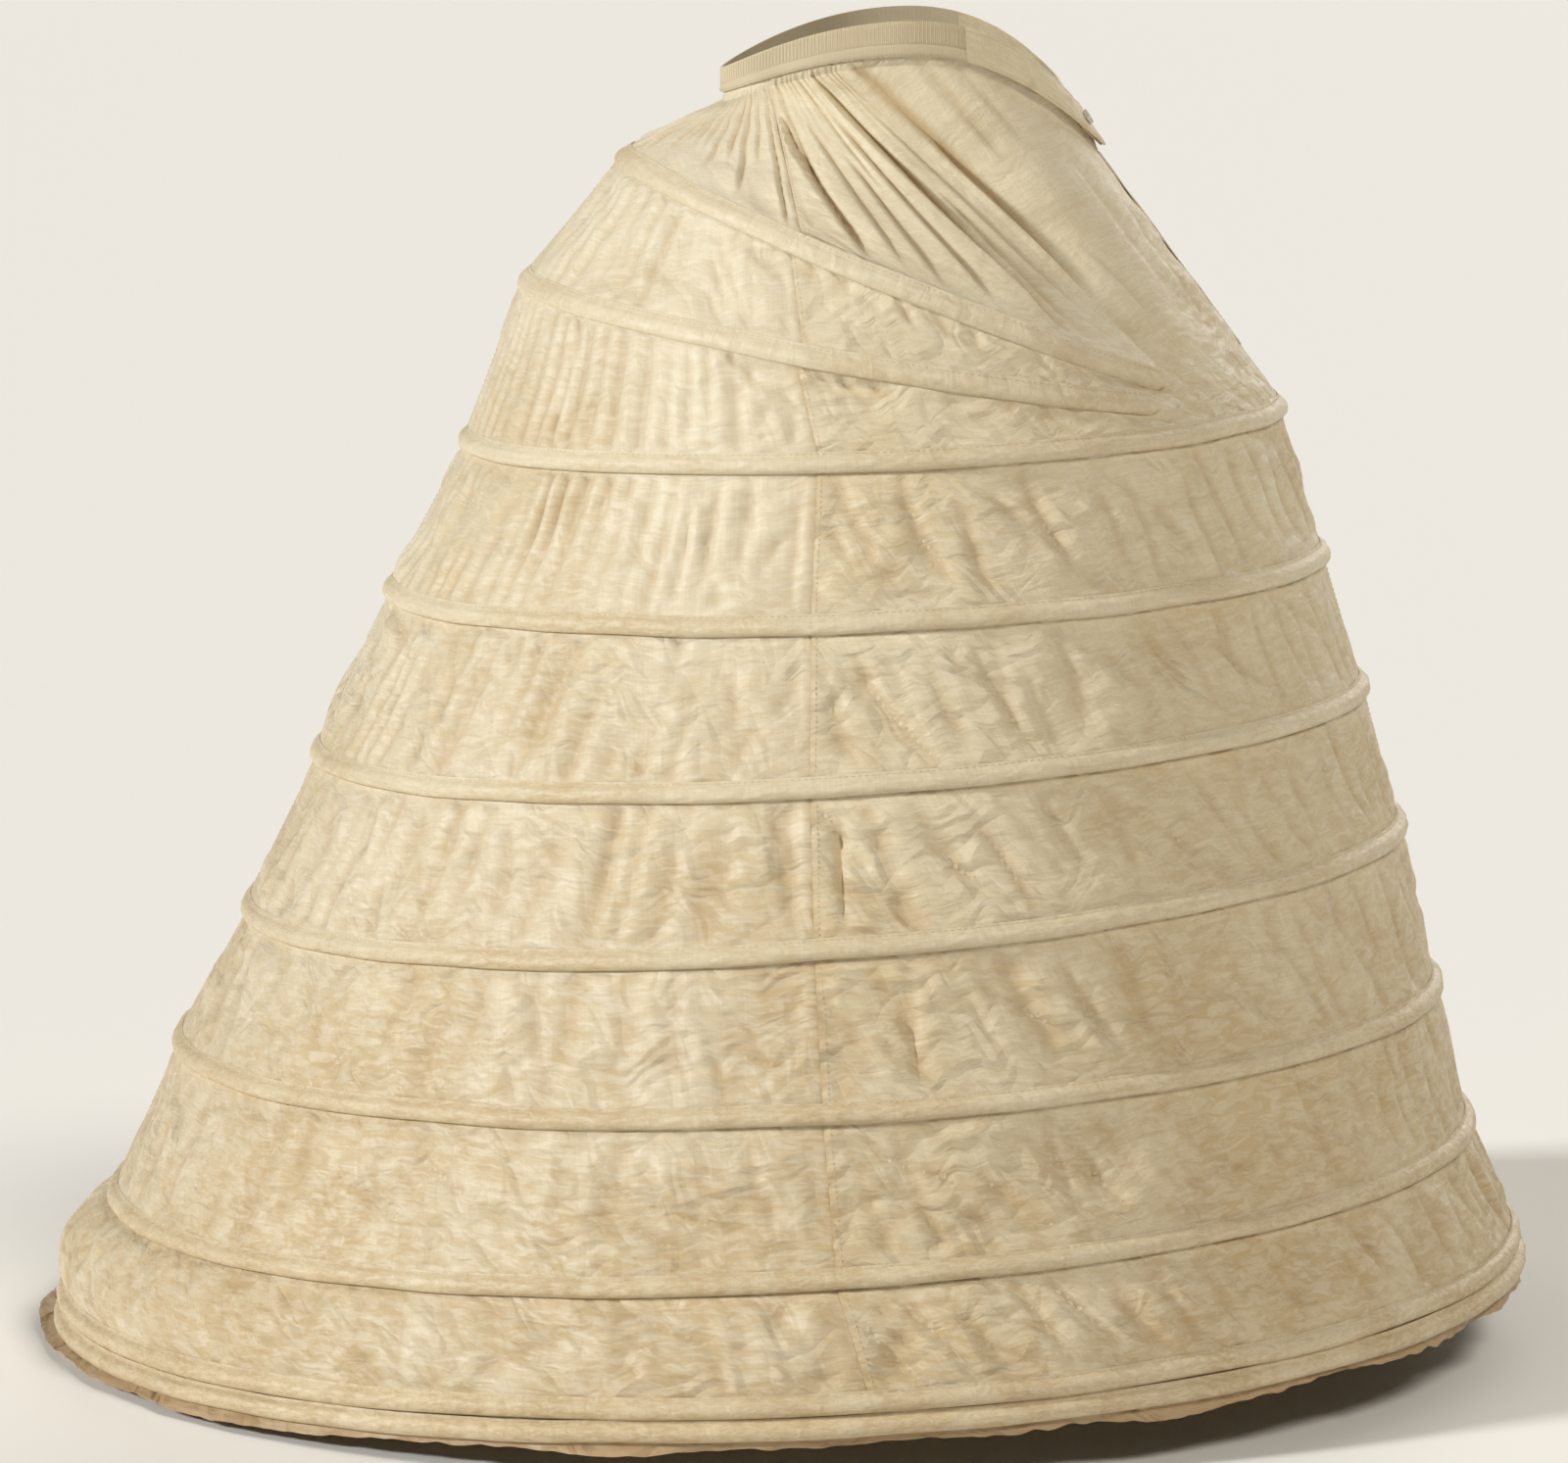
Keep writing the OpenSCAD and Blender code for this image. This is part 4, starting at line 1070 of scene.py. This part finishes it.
def bandPiece(node, angle, share, inset, swell, material, slotName):
    outer = bandPoint(angle[:, None], share[None, :], inset[:, None] - swell)
    inner = bandPoint(angle[:, None], share[None, :], inset[:, None] + waist["thick"])
    along = lengthAlong(outer[:, 0])[:, None]
    up = share[None, :] * bandDrop(angle)[:, None]
    points, faces = thinSheet(outer, inner)
    piece = addCloth(node, points, faces, material, slotName, sheetMap(along * mm, up * mm), sharp=40)
    return piece, outer, float(along[-1, 0] * mm)


def rounded(share, reach=0.06):
    return bandLook["rim"] * (bothEnds(share, reach) - 1)


def tapeSwell(angle):
    cords = np.where(np.arange(len(angle)) % 2 == 0, bandLook["cordDepth"], -bandLook["cordDepth"])
    ribbed = smooth((tapeShare - bandLook["foldShare"]) / 0.03)
    fold = -bandLook["foldDepth"] * np.exp(-((tapeShare - bandLook["foldShare"]) / 0.02) ** 2)
    slack = bandLook["tapeSlack"] * hills(angle[:, None] * 2, tapeShare[None, :] * 22, (90, 45), 501)
    swell = cords[:, None] * ribbed[None, :] + (rounded(tapeShare) + fold)[None, :]
    return swell + slack * (1 - tapeShare[None, :] * 0.3)


def plainSwell(angle, seed):
    high, low = [np.exp(-((plainShare - at) / 0.03) ** 2) for at in bandLook["grooves"]]
    groove = -bandLook["grooveDepth"] * (high + low)[None, :]
    slack = bandLook["plainSlack"] * hills(angle[:, None] * 2, plainShare[None, :] * 28, (36, 20, 12), seed)
    return rounded(plainShare, 0.05)[None, :] + groove + slack


joinAngle = bandLook["joinAngle"]
backAngle = np.linspace(joinAngle + bandLook["joinGap"], 360 - joinAngle - bandLook["joinGap"],
                        bandLook["tapeColumns"])
rightAngle = np.linspace(-joinAngle, bandLook["lapAngle"], bandLook["rightColumns"])
leftAngle = np.linspace(bandLook["underlapAngle"], joinAngle, bandLook["leftColumns"])
underlapRun = bandLook["underlapStart"] - bandLook["underlapFull"]
leftInset = bandInset * np.clip((bandLook["underlapStart"] - leftAngle) / underlapRun, 0, 1)
leftSwell = np.minimum(plainSwell(leftAngle, 531), bandLook["leftLimit"])
backBand = bandPiece("back_waistband", backAngle, tapeShare, 0 * backAngle, tapeSwell(backAngle), tape,
                     "ribbed_tape")
rightBand = bandPiece("right_waistband", rightAngle, plainShare, 0 * rightAngle, plainSwell(rightAngle, 521),
                      bandCotton, "cotton")
leftBand = bandPiece("left_waistband", leftAngle, plainShare, leftInset, leftSwell, bandCotton, "cotton")
leftSeen = 60  # the left band's stitches start here, past what the right band covers
bandPaths = []
for (_, outer, _), angle, first, stitchRows in ((rightBand, rightAngle, 0, (3, 14)),
                                                (leftBand, leftAngle, leftSeen, (3, 14)),
                                                (backBand, backAngle, 0, (9, 13))):
    bandPaths += [(outer[first:, row], bandOut(angle[first:])) for row in stitchRows]
makeStitches("bandStitches", bandPaths, pitch=2.7, long=1.9, thick=0.24)
print("waistband made")

# Front opening: the hem of its upper edge and the underlap behind it
placket = dict(stop=0.2, rows=70, hemWidth=13, underlapWidth=15, seamWidth=8, thick=0.8, layer=0.7, gap=0.3,
               edge=0.15, slack=0.25, long=230, footLift=2.2, footReach=0.8)


def openingPoint(share, across, out):
    share, across, out = np.broadcast_arrays(share, across, out)
    zero = np.zeros_like(share)
    foot, nextFoot = topEdge(zero), topEdge(zero + 1)
    top, nextTop = root(zero), root(zero + 1)
    edge = mix(foot, top, share[..., None])
    aside = unit(mix(nextFoot, nextTop, share[..., None]) - edge)
    face = unit(np.cross(aside, top - foot))
    mirrored = np.where(across < 0, -1.0, 1.0)[..., None] * np.array([0, 1, 0]) + np.array([1, 0, 1])
    return edge + np.abs(across)[..., None] * aside * mirrored + out[..., None] * face * mirrored


def stripPiece(node, across, out, seed):
    share = np.linspace(1, placket["stop"], placket["rows"])
    swell = placket["slack"] * hills(share[None, :] * placket["long"], across[:, None], (60, 26), seed)
    out = out + swell + placket["footLift"] * np.clip((1 - share) / placket["footReach"], 0, 1)[None, :]
    outer = openingPoint(share[None, :], across[:, None], out)
    inner = openingPoint(share[None, :], across[:, None], out - placket["thick"] * placket["layer"])
    points, faces = thinSheet(outer, inner)
    uv = sheetMap(across[:, None] * mm, share[None, :] * (placket["long"] * mm))
    return addCloth(node, points, faces, bandCotton, "cotton", uv), outer


hemAcross = -np.linspace(placket["hemWidth"] + placket["edge"], placket["edge"], 9)
lapAcross = np.concatenate([-np.linspace(placket["underlapWidth"], 0, 9),
                            np.linspace(0, placket["seamWidth"], 6)[1:]])
placketHem, hemGrid = stripPiece("placket_hem", hemAcross, placket["gap"] + placket["thick"], 601)
placketUnderlap, _ = stripPiece("placket_underlap", lapAcross, -placket["thick"] - placket["gap"], 611)
makeStitches("placketStitches", [(hemGrid[1], gridOut(hemGrid)[1])], pitch=3.2, long=2.2, thick=0.24)

# Button and its thread keep the solids; the buttonhole's edge is worked over with thread
buttonhole = dict(angle=-16, halfLong=3.4, share=0.5, halfTall=0.075, inset=-0.35, points=60)
around = np.linspace(0, 2 * math.pi, buttonhole["points"])
holeAngle = buttonhole["angle"] + np.cos(around) * buttonhole["halfLong"]
holeShare = buttonhole["share"] + np.sin(around) * buttonhole["halfTall"]
holePath = bandPoint(holeAngle, holeShare, buttonhole["inset"])
makeStitches("buttonholeStitches", [(holePath, bandOut(holeAngle))], pitch=0.85, long=0.8, thick=0.5,
             lift=0.0)
fittings = (("button_thread", thread), ("button", china), ("steel", braid), ("clip", tinned),
            ("tips", tinned))
for node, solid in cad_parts.items():
    finishes = [material for word, material in fittings if word in node]
    if finishes:
        solid.data.materials.clear()
        solid.data.materials.append(finishes[0])
print("opening and fittings made")

# Pale floor just under the hem, and plain soft light from the photograph's left. A sun has the way it comes
# from, its strength, its spread in degrees and its tint.
studio = dict(floorGap=0.004, floorSize=90, floorTone=(0.93, 0.915, 0.88, 1), floorRough=0.9, world=0.1,
              worldTint=(1.0, 0.985, 0.96, 1),
              suns=(("key", (-0.85, -0.30, 0.43), 2.5, 8, (1, 1, 0.985)),
                    ("top", (0.45, -0.45, 0.77), 1.3, 20, (1, 0.945, 0.85)),
                    ("rear", (0.3, 0.85, 0.45), 1.0, 40, (1, 0.97, 0.92))))
lowest = min(float(outer[:, :, 2].min()) for _, outer in clothPieces.values()) * mm
floorMesh = bpy.data.meshes.new("floor")
half = studio["floorSize"] / 2
corners = [(-half, -half, 0), (half, -half, 0), (half, half, 0), (-half, half, 0)]
floorMesh.from_pydata(corners, [], [(0, 1, 2, 3)])
floor = bpy.data.objects.new("floor", floorMesh)
floor.location.z = lowest - studio["floorGap"]
scene.collection.objects.link(floor)
floorPaint, floorTree, floorShader = startMaterial("pale floor")
fill(floorTree, floorShader, {"Base Color": studio["floorTone"], "Roughness": studio["floorRough"]})
floorMesh.materials.append(floorPaint)
world = bpy.data.worlds.new("studio")
scene.world = world
world.use_nodes = True
background = world.node_tree.nodes["Background"]
fill(world.node_tree, background, dict(Color=studio["worldTint"], Strength=studio["world"]))
for label, source, strength, spread, tint in studio["suns"]:
    sunData = bpy.data.lights.new(label, "SUN")
    sunData.energy = strength
    sunData.color = tint
    sunData.angle = math.radians(spread)
    sun = bpy.data.objects.new(label, sunData)
    toward = -unit(np.array(source))
    sun.rotation_euler = (math.acos(-toward[2]), 0, math.atan2(toward[1], toward[0]) - math.pi / 2)
    scene.collection.objects.link(sun)
print("stage and light made")
